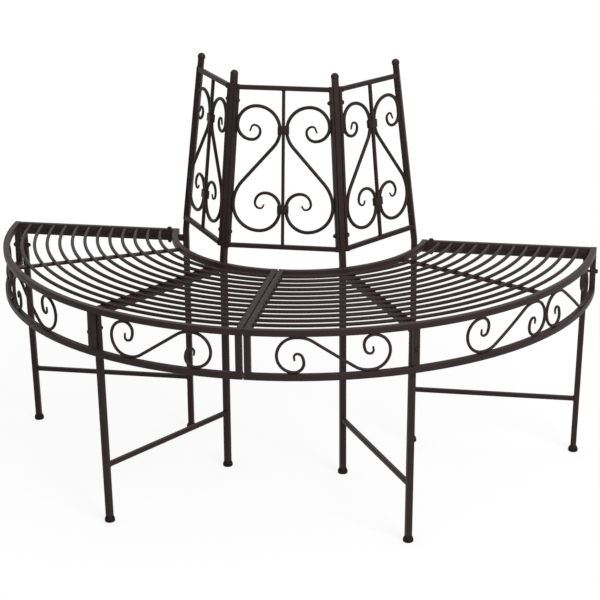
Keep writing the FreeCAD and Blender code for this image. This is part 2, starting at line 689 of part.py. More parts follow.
def stile(name, frame, tangent):
    """A flat bar up the side of a post, with its two bolt holes."""
    _, angle, setback = frame
    low = size.bottom_rail_height - size.stile_overhang
    lean = math.radians(size.post_lean)
    bar = doc.addObject("Part::Box", name + "_bar")
    bind(bar, Length="sizes.stile_width", Width="sizes.stile_thickness",
         Height="(sizes.top_rail_height - sizes.bottom_rail_height + 2 * sizes.stile_overhang)"
                " / cos(sizes.post_lean * 1 deg)")
    side = half_tube if tangent > 0 else -half_tube - size.stile_thickness
    leaning = Placement(Vector(post_x(low), 0, low), Rotation(Vector(0, 1, 0), -size.post_lean))
    bar.Placement = frame_place(angle, setback).multiply(leaning).multiply(
        Placement(Vector(-size.stile_width / 2, side, 0), Rotation()))
    holes = []
    for number, (_, height) in enumerate(panel_bolt_heights):
        start = Vector(post_x(height), side - 1, height)
        through = frame_place(angle, setback).multiply(Placement(start, Rotation(BODY_X, -90)))
        holes.append(prism(f"{name}_hole_{number}", int(size.rod_sides), size.bolt_size,
                           size.stile_thickness + 2, through,
                           Circumradius="sizes.bolt_size / 2 + sizes.bolt_clearance"))
    return cut(name, bar, *holes)


def panel_scroll(place, hand, half_at, upper, lower):
    """One S scroll of a panel: hand -1 is the left one. Its loops reach from the collars to the stile."""
    touch = size.centre_bar_size / 2 + size.weld_gap + size.panel_rod / 2

    def loop_width(height):
        return half_at(height) - size.weld_gap - size.panel_rod / 2 - touch

    up_large = size.upper_loop_radius
    up_small = loop_width(upper) - up_large
    across = loop_width(size.lower_loop_bottom + size.loop_share * loop_width(lower))
    low_large, low_small = size.loop_share * across, (1 - size.loop_share) * across
    hip_y = size.lower_loop_bottom + low_large
    drop = upper - hip_y
    bends = size.neck_radius + size.hip_radius
    straight = math.sqrt((across - bends) ** 2 + drop ** 2 - bends ** 2)
    turn = math.degrees(math.atan2(across - bends, drop) + math.atan2(bends, straight))

    up_part = walk((-touch, upper), math.pi / 2,
                   [("bend", up_large, 90), ("bend", up_small, 90), ("bend", size.upper_curl_one, 90),
                    ("bend", size.upper_curl_two, 90), ("bend", size.upper_curl_three, 90),
                    ("bend", size.upper_curl_four, size.curl_tail_turn)], size.scroll_sag)
    rise = lower + size.collar_height / 4 - (size.lower_loop_bottom + low_small)
    down_part = walk((-touch, upper), -math.pi / 2,
                     [("bend", size.neck_radius, -turn), ("run", straight), ("bend", size.hip_radius, turn),
                      ("bend", low_large, 90), ("bend", low_small, 90), ("run", rise),
                      ("bend", size.lower_curl_one, 90), ("bend", size.lower_curl_two, 90),
                      ("bend", size.lower_curl_three, 90),
                      ("bend", size.lower_curl_four, size.curl_tail_turn)], size.scroll_sag)
    path = joined(down_part, up_part)
    axes = place.Rotation
    along = axes.multVec(BODY_X) * -hand
    up = axes.multVec(Vector(0, 1, 0))
    out = axes.multVec(UP)

    def lay(x, y):
        return place.Base + along * x + up * y, along, up, out

    return rod_along(path, lay, size.panel_rod, size.panel_tip)


def collar(name, place, height):
    """A folded sleeve that ties the two scrolls to the centre bar."""
    rods = size.centre_bar_size + 2 * (size.weld_gap + size.panel_rod)
    half_in = rods / 2 + size.collar_clearance
    deep_in = size.panel_rod / 2 / math.cos(math.pi / size.rod_sides) + size.collar_clearance
    half_out, deep_out = half_in + size.collar_wall, deep_in + size.collar_wall
    low, high = height - size.collar_height / 2, height + size.collar_height / 2
    outer = box(name + "_outside", (-half_out, low, -deep_out), (half_out, high, deep_out), place)
    inner = box(name + "_inside", (-half_in, low - 1, -deep_in), (half_in, high + 1, deep_in), place)
    bind(outer, Width="sizes.collar_height")
    return cut(name, outer, inner)


def beyond_stile(name, frame, tangent):
    """A block over a post and its stile, up to the face that the rails are mitred to."""
    _, angle, setback = frame
    across = sorted((tangent * stile_face, -tangent * post_radius))
    return box(name, (0, across[0], size.seat_height),
               (post_radius + size.tube_size, across[1], 2 * size.seat_height), frame_place(angle, setback))


def back_panel(panel_name, left, right):
    place, half_low, half_high, slope = panel_geometry(left, right)
    blocks = (beyond_stile(panel_name + "_left_block", left, 1),
              beyond_stile(panel_name + "_right_block", right, -1))

    def half_at(height):
        return half_low + (half_high - half_low) * height / slope

    keep(panel_rail(panel_name + "_top_tube", place, slope, half_high, blocks), panel_name + "_top_rail")
    keep(panel_rail(panel_name + "_bottom_tube", place, 0.0, half_low, blocks), panel_name + "_bottom_rail")
    group(panel_name + "_stiles", [stile(panel_name + "_left_stile", left, 1),
                                   stile(panel_name + "_right_stile", right, -1)])
    half_bar = size.centre_bar_size / 2
    bar = box(panel_name + "_bar", (-half_bar, size.rail_size / 2, -half_bar),
              (half_bar, slope - size.rail_size / 2, half_bar), place)
    bind(bar, Length="sizes.centre_bar_size", Height="sizes.centre_bar_size")
    keep(bar, panel_name + "_centre_bar")
    rods = doc.addObject("Part::Feature", panel_name + "_scroll_rods")
    lower, upper = size.lower_collar_height, slope - size.upper_collar_depth
    rods.Shape = Part.makeCompound([panel_scroll(place, hand, half_at, upper, lower) for hand in (-1, 1)])
    keep(rods, panel_name + "_scrolls")
    group(panel_name + "_collars", [collar(f"{panel_name}_collar_{number}", place, height)
                                    for number, height in enumerate((lower, upper))])


# Fasteners
def bolt_and_nut(name, start, direction, grip):
    """A bolt from start through a grip, with a cap nut at the far side."""
    place = Placement(start, Rotation(UP, direction))
    under = place.multiply(Placement(Vector(0, 0, -size.head_height), Rotation()))
    beyond = place.multiply(Placement(Vector(0, 0, grip), Rotation()))
    sides = int(size.rod_sides)
    into_nut = size.nut_height - size.head_height / 2
    head = prism(name + "_head", HEAD_SIDES, size.head_size, size.head_height, under,
                 Circumradius="sizes.head_size / 2", Height="sizes.head_height")
    shank = prism(name + "_shank", sides, size.bolt_size, grip + into_nut, place,
                  Circumradius="sizes.bolt_size / 2")
    bolt = doc.addObject("Part::Fuse", name)
    bolt.Base, bolt.Tool = head, shank
    cap = prism(name + "_cap", HEAD_SIDES, size.head_size, size.nut_height, beyond,
                Circumradius="sizes.head_size / 2", Height="sizes.nut_height")
    bore = prism(name + "_bore", sides, size.bolt_size, into_nut + size.nut_clearance, beyond,
                 Circumradius="sizes.bolt_size / 2 + sizes.nut_clearance")
    return bolt, cut(name + "_nut", cap, bore)


def leg_bolts():
    pairs = []
    for frame_name, angle, setback in FRAMES:
        outside = math.sqrt(rim_middle ** 2 - setback ** 2) + half_tube
        inside = leg_x(leg_bolt_height) - half_tube / math.cos(math.radians(size.leg_lean))
        place = frame_place(angle, setback)
        start = place.multVec(Vector(outside, 0, leg_bolt_height))
        pairs.append(bolt_and_nut(frame_name + "_leg_bolt", start, place.Rotation.multVec(-BODY_X),
                                  outside - inside + half_tube * leg_slope))
    return pairs


def end_bolts():
    pairs = []
    for frame_name, angle, setback in FRAMES:
        if setback:
            start = frame_place(angle, setback).multVec(Vector(end_bolt_radius, 0, size.seat_height))
            pairs.append(bolt_and_nut(frame_name + "_seat_bolt", start, -UP, 2 * size.tube_size))
    return pairs


def panel_bolts():
    pairs = []
    for frame_name, angle, setback in FRAMES:
        left_side = -stile_face if frame_name != "left_end" else -half_tube
        right_side = stile_face if frame_name != "right_end" else half_tube
        place = frame_place(angle, setback)
        for number, (_, height) in enumerate(panel_bolt_heights):
            start = place.multVec(Vector(post_x(height), right_side, height))
            direction = place.Rotation.multVec(Vector(0, -1, 0))
            pairs.append(bolt_and_nut(f"{frame_name}_panel_bolt_{number}", start, direction,
                                      right_side - left_side))
    return pairs


def fasteners():
    for kind, pairs in (("seat", leg_bolts() + end_bolts()), ("panel", panel_bolts())):
        group(kind + "_bolts", [bolt for bolt, _ in pairs])
        group(kind + "_cap_nuts", [nut for _, nut in pairs])


def whole_bench():
    solid_ring = cylinder("ring_solid", ring_outside, size.seat_height, Placement())
    ring_hole = cylinder("ring_hole", ring_inside, size.seat_height, Placement())
    bind(solid_ring, Radius="sizes.outer_radius - sizes.tube_size", Height="sizes.seat_height")
    bind(ring_hole, Radius="sizes.inner_radius + sizes.tube_size", Height="sizes.seat_height")
    gap_ring = cut("gap_ring", solid_ring, ring_hole)
    for side_name, side in SECTIONS:
        seat_section(side_name, side, gap_ring)
    for frame in FRAMES:
        leg_frame(*frame)
    places = [(name, frame_place(angle, setback)) for name, angle, setback in FRAMES]
    group("post_balls", [ball(name + "_ball", place) for name, place in places])
    group("front_foot_caps", [foot_cap(name + "_front_cap", place, leg_x(size.cap_floor))
                              for name, place in places])
    group("back_foot_caps", [foot_cap(name + "_back_cap", place, post_radius) for name, place in places])
    for number, panel_name in enumerate(("left_panel", "middle_panel", "right_panel")):
        back_panel(panel_name, FRAMES[number], FRAMES[number + 1])
    fasteners()


def check_and_write():
    """Stops on any failed feature or unsound shape, then writes one file for each sub-part."""
    doc.recompute()
    failed = [o.Name for o in doc.Objects if {"Invalid", "Error"} & set(o.State)]
    if failed:
        raise RuntimeError("these features failed: " + ", ".join(failed))
    for node, obj in made.items():
        if obj.Shape.isNull() or not obj.Shape.isValid() or not obj.Shape.Solids:
            raise RuntimeError("no sound solid in " + node)
    os.makedirs("parts", exist_ok=True)
    for node, obj in made.items():
        obj.Shape.exportStep(f"parts/{node}.step")
        print(f"{node}: {len(obj.Shape.Solids)} solid(s), {obj.Shape.Volume / 1000:.1f} cm3")


whole_bench()
check_and_write()
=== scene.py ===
# %% [markdown]
# A half-round tree bench in powder-coated steel
#
# The real bench is bolted together from two welded seat halves, four leg frames and three leaning back
# panels, all of square tube, flat bar and round rod under one dark satin coat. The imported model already
# gives every piece its place and size. This lesson keeps those places and gives the bench its looks, one
# kind of piece at a time: first the coat, then the seat, the bars and posts, the scrolls, the small turned
# pieces and the weld beads, and last the floor, the lamps and the camera. Everything is in metres, with the
# tree's axis at the origin and the ground at z = 0.

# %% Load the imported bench
import math
import random
from collections import namedtuple

import bmesh
import bpy
from mathutils import Matrix, Vector


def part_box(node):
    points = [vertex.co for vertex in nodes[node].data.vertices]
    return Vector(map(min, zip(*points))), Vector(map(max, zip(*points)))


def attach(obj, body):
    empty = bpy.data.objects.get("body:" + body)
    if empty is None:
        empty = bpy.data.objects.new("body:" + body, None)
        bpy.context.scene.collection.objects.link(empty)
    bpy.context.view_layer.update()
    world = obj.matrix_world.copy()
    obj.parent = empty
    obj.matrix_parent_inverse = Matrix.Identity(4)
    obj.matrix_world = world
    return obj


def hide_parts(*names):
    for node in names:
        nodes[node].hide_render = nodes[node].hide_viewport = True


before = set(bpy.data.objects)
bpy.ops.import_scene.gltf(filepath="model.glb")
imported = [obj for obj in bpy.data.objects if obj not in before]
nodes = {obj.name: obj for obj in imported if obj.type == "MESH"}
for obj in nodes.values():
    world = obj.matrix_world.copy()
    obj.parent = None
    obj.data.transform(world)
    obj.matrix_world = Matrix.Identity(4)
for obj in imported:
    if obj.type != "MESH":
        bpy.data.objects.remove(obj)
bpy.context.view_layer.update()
BODY = "root"
MM = 0.001
X, Y, Z = Vector((1, 0, 0)), Vector((0, 1, 0)), Vector((0, 0, 1))
print("packed nodes:", len(nodes))

# %% [markdown]
# Sizes of the seat
#
# A maker works from a drawing with a few driving sizes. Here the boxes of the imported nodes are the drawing:
# the height of the seat, the radii of its rims, the seam and the open ends are read from them, so that the
# new pieces keep to the old ones. What a box can't tell, such as the side of the square tube, is named. A
# size that only one kind of piece needs is named beside that piece.

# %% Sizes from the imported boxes
TUBE = 12 * MM
WELD_GAP = 0.1 * MM
SIDES = {"left": -1, "right": 1}


def middle(node, axis):
    """The middle of a node's box along one axis."""
    low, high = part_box(node)
    return (low[axis] + high[axis]) / 2


seat_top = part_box("left_outer_rim")[1].z
outer_radius = -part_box("left_outer_rim")[0].y
inner_radius = -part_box("left_inner_rim")[0].y - TUBE
apron_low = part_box("left_apron_rim")[0].z
seam_gap = -2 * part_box("left_outer_rim")[1].x
end_line = -middle("left_end_bar", 1)
print(f"seat {seat_top / MM:.0f} mm high, radii {inner_radius / MM:.0f} and {outer_radius / MM:.0f} mm")

# %% [markdown]
# The colour of the coat
#
# The coat is powder that was baked on to the steel: one brown-black skin, slightly uneven. What faces up is
# painted paler, which is painted light from above. A picture of it would have to be wrapped round nearly
# ninety bars and rods,
# and would stretch on them. Noise that is read in each piece's own space needs no wrapping, so it is used
# here. All coated pieces share the effect in shades of their own, and that is what a node group is for: it
# is built once, and each material places it with its own values.

# %% Helpers for shader nodes
FLOAT, COLOR = "NodeSocketFloat", "NodeSocketColor"


def new_group(name, inputs, outputs):
    """An empty shader group with its sockets. Inputs are (name, kind, default)."""
    group = bpy.data.node_groups.new(name, "ShaderNodeTree")
    for label, kind, default in inputs:
        socket = group.interface.new_socket(name=label, in_out="INPUT", socket_type=kind)
        socket.default_value = default
    for label, kind in outputs:
        group.interface.new_socket(name=label, in_out="OUTPUT", socket_type=kind)
    return group, group.nodes.new("NodeGroupInput"), group.nodes.new("NodeGroupOutput")


def add(tree, kind, **values):
    """A node with some of its settings or input values filled in; From_Min fills the input From Min."""
    node = tree.nodes.new(kind)
    for key, value in values.items():
        if hasattr(node, key):
            setattr(node, key, value)
        else:
            node.inputs[key.replace("_", " ")].default_value = value
    return node


# %% The colour group: slow patches, fine specks, and painted light on what faces up
PATCH_SCALE = 14.0
SPECK_SCALE, SPECK_SHARE = 420.0, 0.08
# Painted light: a face that tilts up past this is painted paler, as if lit from above.
TOP_LIGHT_STARTS = 0.3
SATIN, DULLER = 0.36, 0.5


def coat_colour_group():
    """Mixes a coat's colour with its paler one in patches, and as painted light on what faces up; its
    roughness wanders with the patches.
    """
    inputs = [("Colour", COLOR, (0.03, 0.02, 0.02, 1)), ("Pale", COLOR, (0.08, 0.07, 0.06, 1)),
              ("Top dust", FLOAT, 0.3), ("Variation", FLOAT, 0.2)]
    tree, into, out = new_group("coat_colour", inputs, [("Colour", COLOR), ("Roughness", FLOAT)])
    link = tree.links.new
    place = add(tree, "ShaderNodeTexCoord")
    broad = add(tree, "ShaderNodeTexNoise", Scale=PATCH_SCALE, Detail=3.0)
    fine = add(tree, "ShaderNodeTexNoise", Scale=SPECK_SCALE, Detail=2.0)
    link(place.outputs["Object"], broad.inputs["Vector"])
    link(place.outputs["Object"], fine.inputs["Vector"])
    facing = add(tree, "ShaderNodeNewGeometry")
    normal = add(tree, "ShaderNodeSeparateXYZ")
    link(facing.outputs["Normal"], normal.inputs[0])
    # Painted light: faces that point up are mixed towards the pale colour, as if lit from above.
    up = add(tree, "ShaderNodeMapRange", clamp=True, From_Min=TOP_LIGHT_STARTS, From_Max=1.0)
    link(normal.outputs["Z"], up.inputs["Value"])
    top_light = add(tree, "ShaderNodeMath", operation="MULTIPLY")
    link(up.outputs[0], top_light.inputs[0])
    link(into.outputs["Top dust"], top_light.inputs[1])
    patch = add(tree, "ShaderNodeMath", operation="MULTIPLY_ADD")
    link(broad.outputs["Fac"], patch.inputs[0])
    link(into.outputs["Variation"], patch.inputs[1])
    link(top_light.outputs[0], patch.inputs[2])
    speck = add(tree, "ShaderNodeMath", operation="MULTIPLY_ADD")
    link(fine.outputs["Fac"], speck.inputs[0])
    speck.inputs[1].default_value = SPECK_SHARE
    link(patch.outputs[0], speck.inputs[2])
    # A Mix node's colour sockets are inputs 6 and 7 and output 2.
    mix = add(tree, "ShaderNodeMix", data_type="RGBA")
    link(speck.outputs[0], mix.inputs["Factor"])
    link(into.outputs["Colour"], mix.inputs[6])
    link(into.outputs["Pale"], mix.inputs[7])
    link(mix.outputs[2], out.inputs["Colour"])
    gloss = add(tree, "ShaderNodeMapRange", To_Min=SATIN, To_Max=DULLER)
    link(broad.outputs["Fac"], gloss.inputs["Value"])
    link(gloss.outputs[0], out.inputs["Roughness"])
    return tree


coat_colour = coat_colour_group()
print("coat colour group:", len(coat_colour.nodes), "nodes")

# %% [markdown]
# The relief of the coat
#
# Baked powder is never quite flat. It sets with a soft orange peel, whose dimples lie a few millimetres
# apart, and with a finer grit. Real bumps in the mesh would need millions of faces for something that is
# seen only in the highlights, so two noises are added up to a height, and a Bump node in each material
# tilts the light with it. The fineness of the peel is an input, because thin rods, welds and rubber each
# have their own.

# %% The relief group: orange peel and fine grit
GRIT_SCALE = 1400.0


def coat_relief_group():
    """Adds up a coarse noise and a share of a fine one to a height."""
    tree, into, out = new_group("coat_relief", [("Peel scale", FLOAT, 260.0), ("Grit", FLOAT, 0.3)],
                                [("Height", FLOAT)])
    link = tree.links.new
    place = add(tree, "ShaderNodeTexCoord")
    peel = add(tree, "ShaderNodeTexNoise", Detail=2.0)
    grit = add(tree, "ShaderNodeTexNoise", Scale=GRIT_SCALE, Detail=1.0)
    link(place.outputs["Object"], peel.inputs["Vector"])
    link(place.outputs["Object"], grit.inputs["Vector"])
    link(into.outputs["Peel scale"], peel.inputs["Scale"])
    both = add(tree, "ShaderNodeMath", operation="MULTIPLY_ADD")
    link(grit.outputs["Fac"], both.inputs[0])
    link(into.outputs["Grit"], both.inputs[1])
    link(peel.outputs["Fac"], both.inputs[2])
    link(both.outputs[0], out.inputs["Height"])
    return tree


coat_relief = coat_relief_group()
print("coat relief group:", len(coat_relief.nodes), "nodes")

# %% [markdown]
# One function for every finish
#
# A finish is a Principled shader that takes its colour, roughness and bump from the two groups. Copying a
# material and changing its nodes would let the copies drift apart, so one function builds them all. The
# specular level is the same all over a piece and is set on the shader itself. It is low, because a satin
# coat on thin bars hardly mirrors the white room.

# %% Making a finish
PEEL_DEPTH = 0.4 * MM
COAT_SPECULAR = 0.08


def coated(name, colour, pale, top_light, variation, peel, bump, specular=COAT_SPECULAR):
    """A material with the coat's colour and relief in its own shades and strengths."""
    material = bpy.data.materials.new(name)
    material.use_nodes = True
    tree = material.node_tree
    link = tree.links.new
    shader = tree.nodes["Principled BSDF"]
    tone = add(tree, "ShaderNodeGroup", node_tree=coat_colour, Colour=(*colour, 1), Pale=(*pale, 1),
               Top_dust=top_light, Variation=variation)
    relief = add(tree, "ShaderNodeGroup", node_tree=coat_relief, Peel_scale=peel)
    surface = add(tree, "ShaderNodeBump", Strength=bump, Distance=PEEL_DEPTH)
    link(relief.outputs["Height"], surface.inputs["Height"])
    link(surface.outputs["Normal"], shader.inputs["Normal"])
    link(tone.outputs["Colour"], shader.inputs["Base Color"])
    link(tone.outputs["Roughness"], shader.inputs["Roughness"])
    shader.inputs["Specular IOR Level"].default_value = specular
    return material


# %% [markdown]
# Tube, slat and scroll coats
#
# Tubes, slats and scrolls came out of one oven and have one colour. The powder lies thinner and evener on
# round rod than on square tube, so rods are a little darker, with less painted top light and a finer peel.
# One material for all three would be simpler, but then the rods would look like soft tubes.

# %% The coats of steel
BROWN_BLACK = (0.0163, 0.0102, 0.0112)
# The pale brown serves both the random patches and the painted light on what faces up.
PALE_AND_TOP_LIT_BROWN = (0.086, 0.050, 0.043)
frame_coat = coated("frame_coat", BROWN_BLACK, PALE_AND_TOP_LIT_BROWN, top_light=0.14, variation=0.12, peel=240, bump=0.35)
slat_coat = coated("slat_coat", (0.0150, 0.0092, 0.0098), PALE_AND_TOP_LIT_BROWN,
                   top_light=0.09, variation=0.10, peel=320, bump=0.30)
scroll_coat = coated("scroll_coat", (0.0148, 0.0098, 0.0100), PALE_AND_TOP_LIT_BROWN,
                     top_light=0.06, variation=0.08, peel=320, bump=0.30)
print("steel coats:", [coat.name for coat in (frame_coat, slat_coat, scroll_coat)])

# %% [markdown]
# Bolts, welds and rubber
#
# The bolts are bought parts with a darker, greyer and slightly glossier skin. The welds lie under the same
# powder as the tubes, but their rough metal swallows light, so they are darker, with a strong fine relief.
# The foot caps are moulded rubber. Rubber could have a shader of its own. It differs from the coat only in
# tone, painted top light and grain, so the same function makes it, with a duller painted top light of its
# own.

# %% The coats of small pieces
# Bolts, welds and rubber also get painted light on what faces up, in their own pale shades.
bolt_coat = coated("bolt_coat", (0.011, 0.008, 0.008), (0.05, 0.045, 0.045),
                   top_light=0.15, variation=0.15, peel=500, bump=0.2, specular=0.10)
weld_coat = coated("weld_coat", (0.010, 0.0064, 0.0068), PALE_AND_TOP_LIT_BROWN,
                   top_light=0.05, variation=0.08, peel=600, bump=0.5)
foot_rubber = coated("foot_rubber", (0.0090, 0.0050, 0.0052), (0.040, 0.028, 0.027),
                     top_light=0.15, variation=0.1, peel=700, bump=0.5, specular=0.06)
print("materials:", len(bpy.data.materials))

# %% [markdown]
# How a piece is made and declared
#
# Every new piece is a mesh that rides on the bench's one body. All but the weld beads stand for a packed
# node and replace it. Ready-made cylinders and cubes would look like stand-ins, so the meshes are built
# point by point with bmesh, which puts every edge where the real bar has it. Faces that meet at a small
# angle are shaded as one smooth skin, and the others keep a crisp edge.

# %% Declaring a piece
CRISP_FROM = math.radians(35)


def declare(name, bm, material, replaced=()):
    """Turns a bmesh into an object that rides on the bench and replaces some nodes."""
    bmesh.ops.recalc_face_normals(bm, faces=bm.faces)
    mesh = bpy.data.meshes.new(name)
    bm.to_mesh(mesh)
    bm.free()
    mesh.materials.append(material)
    mesh.shade_smooth()
    mesh.set_sharp_from_angle(angle=CRISP_FROM)
    obj = bpy.data.objects.new(name, mesh)
    bpy.context.scene.collection.objects.link(obj)
    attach(obj, BODY)
    if replaced:
        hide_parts(*replaced)
    return obj


# %% [markdown]
# Outlines, rings and sweeps
#
# Nearly everything on this bench is a bar with one outline from end to end: a circle for rod, a square with
# rounded corners for tube. A curve object with a bevel could draw such a bar, but its corners twist where
# the bar leans and bends at once. Here the outline is placed at each station of a path with axes that are
# given, and the rings are skinned, so a square tube stays upright all the way.

# %% Outlines of rod and tube
CORNER_STEPS = 3


def round_outline(radius, sides):
    """A circle as points (u, v) round its middle."""
    return [(radius * math.cos(2 * math.pi * i / sides), radius * math.sin(2 * math.pi * i / sides))
            for i in range(sides)]


def soft_square(half_u, half_v, corner):
    """A rectangle with rounded corners, as points (u, v) round its middle."""
    points = []
    for su, sv, start in ((1, 1, 0), (-1, 1, 90), (-1, -1, 180), (1, -1, 270)):
        cu, cv = su * (half_u - corner), sv * (half_v - corner)
        for i in range(CORNER_STEPS + 1):
            turn = math.radians(start + 90 * i / CORNER_STEPS)
            points.append((cu + corner * math.cos(turn), cv + corner * math.sin(turn)))
    return points


print("points round a square tube:", len(soft_square(TUBE / 2, TUBE / 2, MM)))


# %% Skinning rings
def skin(bm, rings, closed=False):
    """Joins equal rings of points into a bar with capped ends, or into one closed on itself."""
    loops = [[bm.verts.new(p) for p in ring] for ring in rings]
    pairs = list(zip(loops, loops[1:]))
    if closed:
        pairs.append((loops[-1], loops[0]))
    for near, far in pairs:
        for i in range(len(near)):
            j = (i + 1) % len(near)
            bm.faces.new((near[i], near[j], far[j], far[i]))
    if not closed:
        bm.faces.new(list(reversed(loops[0])))
        bm.faces.new(loops[-1])


# %% Carrying an outline along a path
TIP_TURNS = (30, 55, 75)


def tip_stations(station, outward, reach):
    """A few shrinking copies of the last station, for a rounded tip."""
    point, u, v, scale = station
    stations = []
    for turn in TIP_TURNS:
        along = math.sin(math.radians(turn)) * reach * scale
        stations.append((point + outward * along, u, v, scale * math.cos(math.radians(turn))))
    return stations


def sweep(bm, stations, outline, tip_reach=0.0):
    """Stations are (point, u axis, v axis, scale). A tip reach rounds both ends over that length."""
    if tip_reach:
        first, second = stations[0], stations[1]
        last, before = stations[-1], stations[-2]
        lead_in = tip_stations(first, (first[0] - second[0]).normalized(), tip_reach)
        lead_out = tip_stations(last, (last[0] - before[0]).normalized(), tip_reach)
        stations = lead_in[::-1] + stations + lead_out
    rings = [[point + u * (a * scale) + v * (b * scale) for a, b in outline]
             for point, u, v, scale in stations]
    skin(bm, rings)


# %% [markdown]
# Seat slats
#
# Each half of the seat has twelve round slats bent round the tree. They end against the end bar at the open
# side and against the seam bar in the middle. They could be curves with few control points, but the light
# runs along them in long lines that show the smallest kink. So each slat is swept along a true arc, with a
# station every few degrees, and the room between the rims is shared out evenly.

# %% Arcs round the tree
ARC_STEP = math.radians(2.5)


def round_the_tree(radius, level, side, seam_x, end_y):
    """Stations on an arc round the tree from the seam to the end bar, on one side."""
    first = math.asin(seam_x / radius)
    last = math.pi / 2 - math.asin(end_y / radius)
    count = max(4, round((last - first) / ARC_STEP))
    stations = []
    for i in range(count + 1):
        turn = first + (last - first) * i / count
        out = Vector((side * math.sin(turn), -math.cos(turn), 0))
        stations.append((out * radius + Z * level, out, Z, 1.0))
    return stations


print("stations on the outer rim:", len(round_the_tree(outer_radius, seat_top, 1, seam_gap / 2, end_line)))

# %% Slats
SLAT = 7 * MM
SLAT_COUNT = 12
ring_out, ring_in = outer_radius - TUBE, inner_radius + TUBE
pitch = (ring_out - ring_in) / (SLAT_COUNT + 1)
slat_radii = [ring_in + number * pitch for number in range(1, SLAT_COUNT + 1)]
slat_level = seat_top - SLAT / 2
seam_face = seam_gap / 2 + TUBE
end_face = end_line + TUBE / 2
for side_name, side in SIDES.items():
    bm = bmesh.new()
    for radius in slat_radii:
        sweep(bm, round_the_tree(radius, slat_level, side, seam_face, end_face), round_outline(SLAT / 2, 14))
    node = side_name + "_seat_slats"
    slats = declare(node + "_rods", bm, slat_coat, [node])
    print(slats.name, len(slats.data.polygons), "faces")

# %% [markdown]
# Bent rims and the seam
#
# Three square tubes edge each half of the seat: one outside at seat height, one below it as the foot of the
# apron, and one on the tree side. Square tube is rolled from strip, so its corners are rounded, and that
# rounding is what catches the light. A bevel on a finished ring would need its edges picked out, so the
# rounding is in the outline. The two halves don't touch. The slit between them is a little wider here than
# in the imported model, because a thinner one doesn't show as the dark line that it is.

# %% Rims
TUBE_CORNER = 1.0 * MM
SEAM_EASE = 0.3 * MM
rim_middle = outer_radius - TUBE / 2
RIMS = {"outer_rim": (rim_middle, seat_top - TUBE / 2, seam_gap / 2 + SEAM_EASE),
        "apron_rim": (rim_middle, apron_low + TUBE / 2, seam_gap / 2 + SEAM_EASE),
        "inner_rim": (inner_radius + TUBE / 2, seat_top - TUBE / 2, seam_face + WELD_GAP)}
rim_outline = soft_square(TUBE / 2, TUBE / 2, TUBE_CORNER)
for side_name, side in SIDES.items():
    for rim, (radius, level, seam_x) in RIMS.items():
        bm = bmesh.new()
        sweep(bm, round_the_tree(radius, level, side, seam_x, end_line - TUBE / 2), rim_outline)
        node = f"{side_name}_{rim}"
        declare(node + "_tube", bm, frame_coat, [node])
print("rims:", len(SIDES) * len(RIMS))

# %% [markdown]
# Straight bars
#
# Legs, rails, stiles and supports are straight, but each has its own length, lean and end. Building them
# from boxes would mean writing all of that again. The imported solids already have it, with hard edges. So a
# bar starts as the convex hull of its solid's points, which also drops the unseen bore of a tube, and then
# only its long edges are bevelled. Its ends stay sharp and still meet what they are welded to.

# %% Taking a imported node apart
SAME_POINT = 1e-6


def solids_of(node):
    """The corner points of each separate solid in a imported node."""
    bm = bmesh.new()
    bm.from_mesh(nodes[node].data)
    bmesh.ops.remove_doubles(bm, verts=bm.verts, dist=SAME_POINT)
    left = set(bm.verts)
    solids = []
    while left:
        island, queue = set(), [left.pop()]
        while queue:
            vertex = queue.pop()
            island.add(vertex)
            near = [e.other_vert(vertex) for e in vertex.link_edges]
            queue += [v for v in near if v in left]
            left -= set(near)
        solids.append([v.co.copy() for v in island])
    bm.free()
    return sorted(solids, key=lambda points: tuple(round(c, 4) for c in middle_of(points)))


def middle_of(points):
    """The mean of some points."""
    return sum(points, Vector()) / len(points)


def long_axis(points):
    """The direction between the two ends of a long solid, and the middles of those ends."""
    centre = middle_of(points)
    far = max(points, key=lambda p: (p - centre).length)
    other = max(points, key=lambda p: (p - far).length)
    near = (other - far).length / 3
    ends = [middle_of([p for p in points if (p - corner).length < near]) for corner in (far, other)]
    return (ends[1] - ends[0]).normalized(), ends


print("slats in one half's node:", len(solids_of("left_seat_slats")))

# %% Rounding the long edges of a bar
LENGTHWISE = 0.97
SHORTEST_EDGE = 10
FLAT_ENOUGH, EDGE_TURN = math.radians(3), math.radians(40)


def add_soft_bar(bm, points, corner):
    """The hull of a straight bar, with its long edges rounded."""
    bar = bmesh.new()
    for point in points:
        bar.verts.new(point)
    made = bmesh.ops.convex_hull(bar, input=bar.verts)
    spare = [g for g in made["geom_interior"] + made["geom_unused"] if isinstance(g, bmesh.types.BMVert)]
    bmesh.ops.delete(bar, geom=list(set(spare)), context="VERTS")
    bmesh.ops.dissolve_limit(bar, angle_limit=FLAT_ENOUGH, verts=bar.verts, edges=bar.edges)
    axis, _ = long_axis(points)
    long_edges = [e for e in bar.edges
                  if abs((e.verts[1].co - e.verts[0].co).normalized().dot(axis)) > LENGTHWISE
                  and e.calc_length() > SHORTEST_EDGE * corner and len(e.link_faces) == 2
                  and e.calc_face_angle() > EDGE_TURN]
    bmesh.ops.bevel(bar, geom=long_edges, offset=corner, segments=3, profile=0.5, affect="EDGES",
                    clamp_overlap=True)
    spare_mesh = bpy.data.meshes.new("spare")
    bar.to_mesh(spare_mesh)
    bar.free()
    bm.from_mesh(spare_mesh)
    bpy.data.meshes.remove(spare_mesh)


def dress_bars(ending, corner, reshaped=None):
    """Replaces all nodes whose names have this ending by bars with rounded edges."""
    count = 0
    for node in sorted(name for name in nodes if name.endswith(ending)):
        bm = bmesh.new()
        for points in solids_of(node):
            add_soft_bar(bm, reshaped(points) if reshaped else points, corner)
            count += 1
        declare(node + "_bar", bm, frame_coat, [node])
    print(f"bars{ending}:", count)


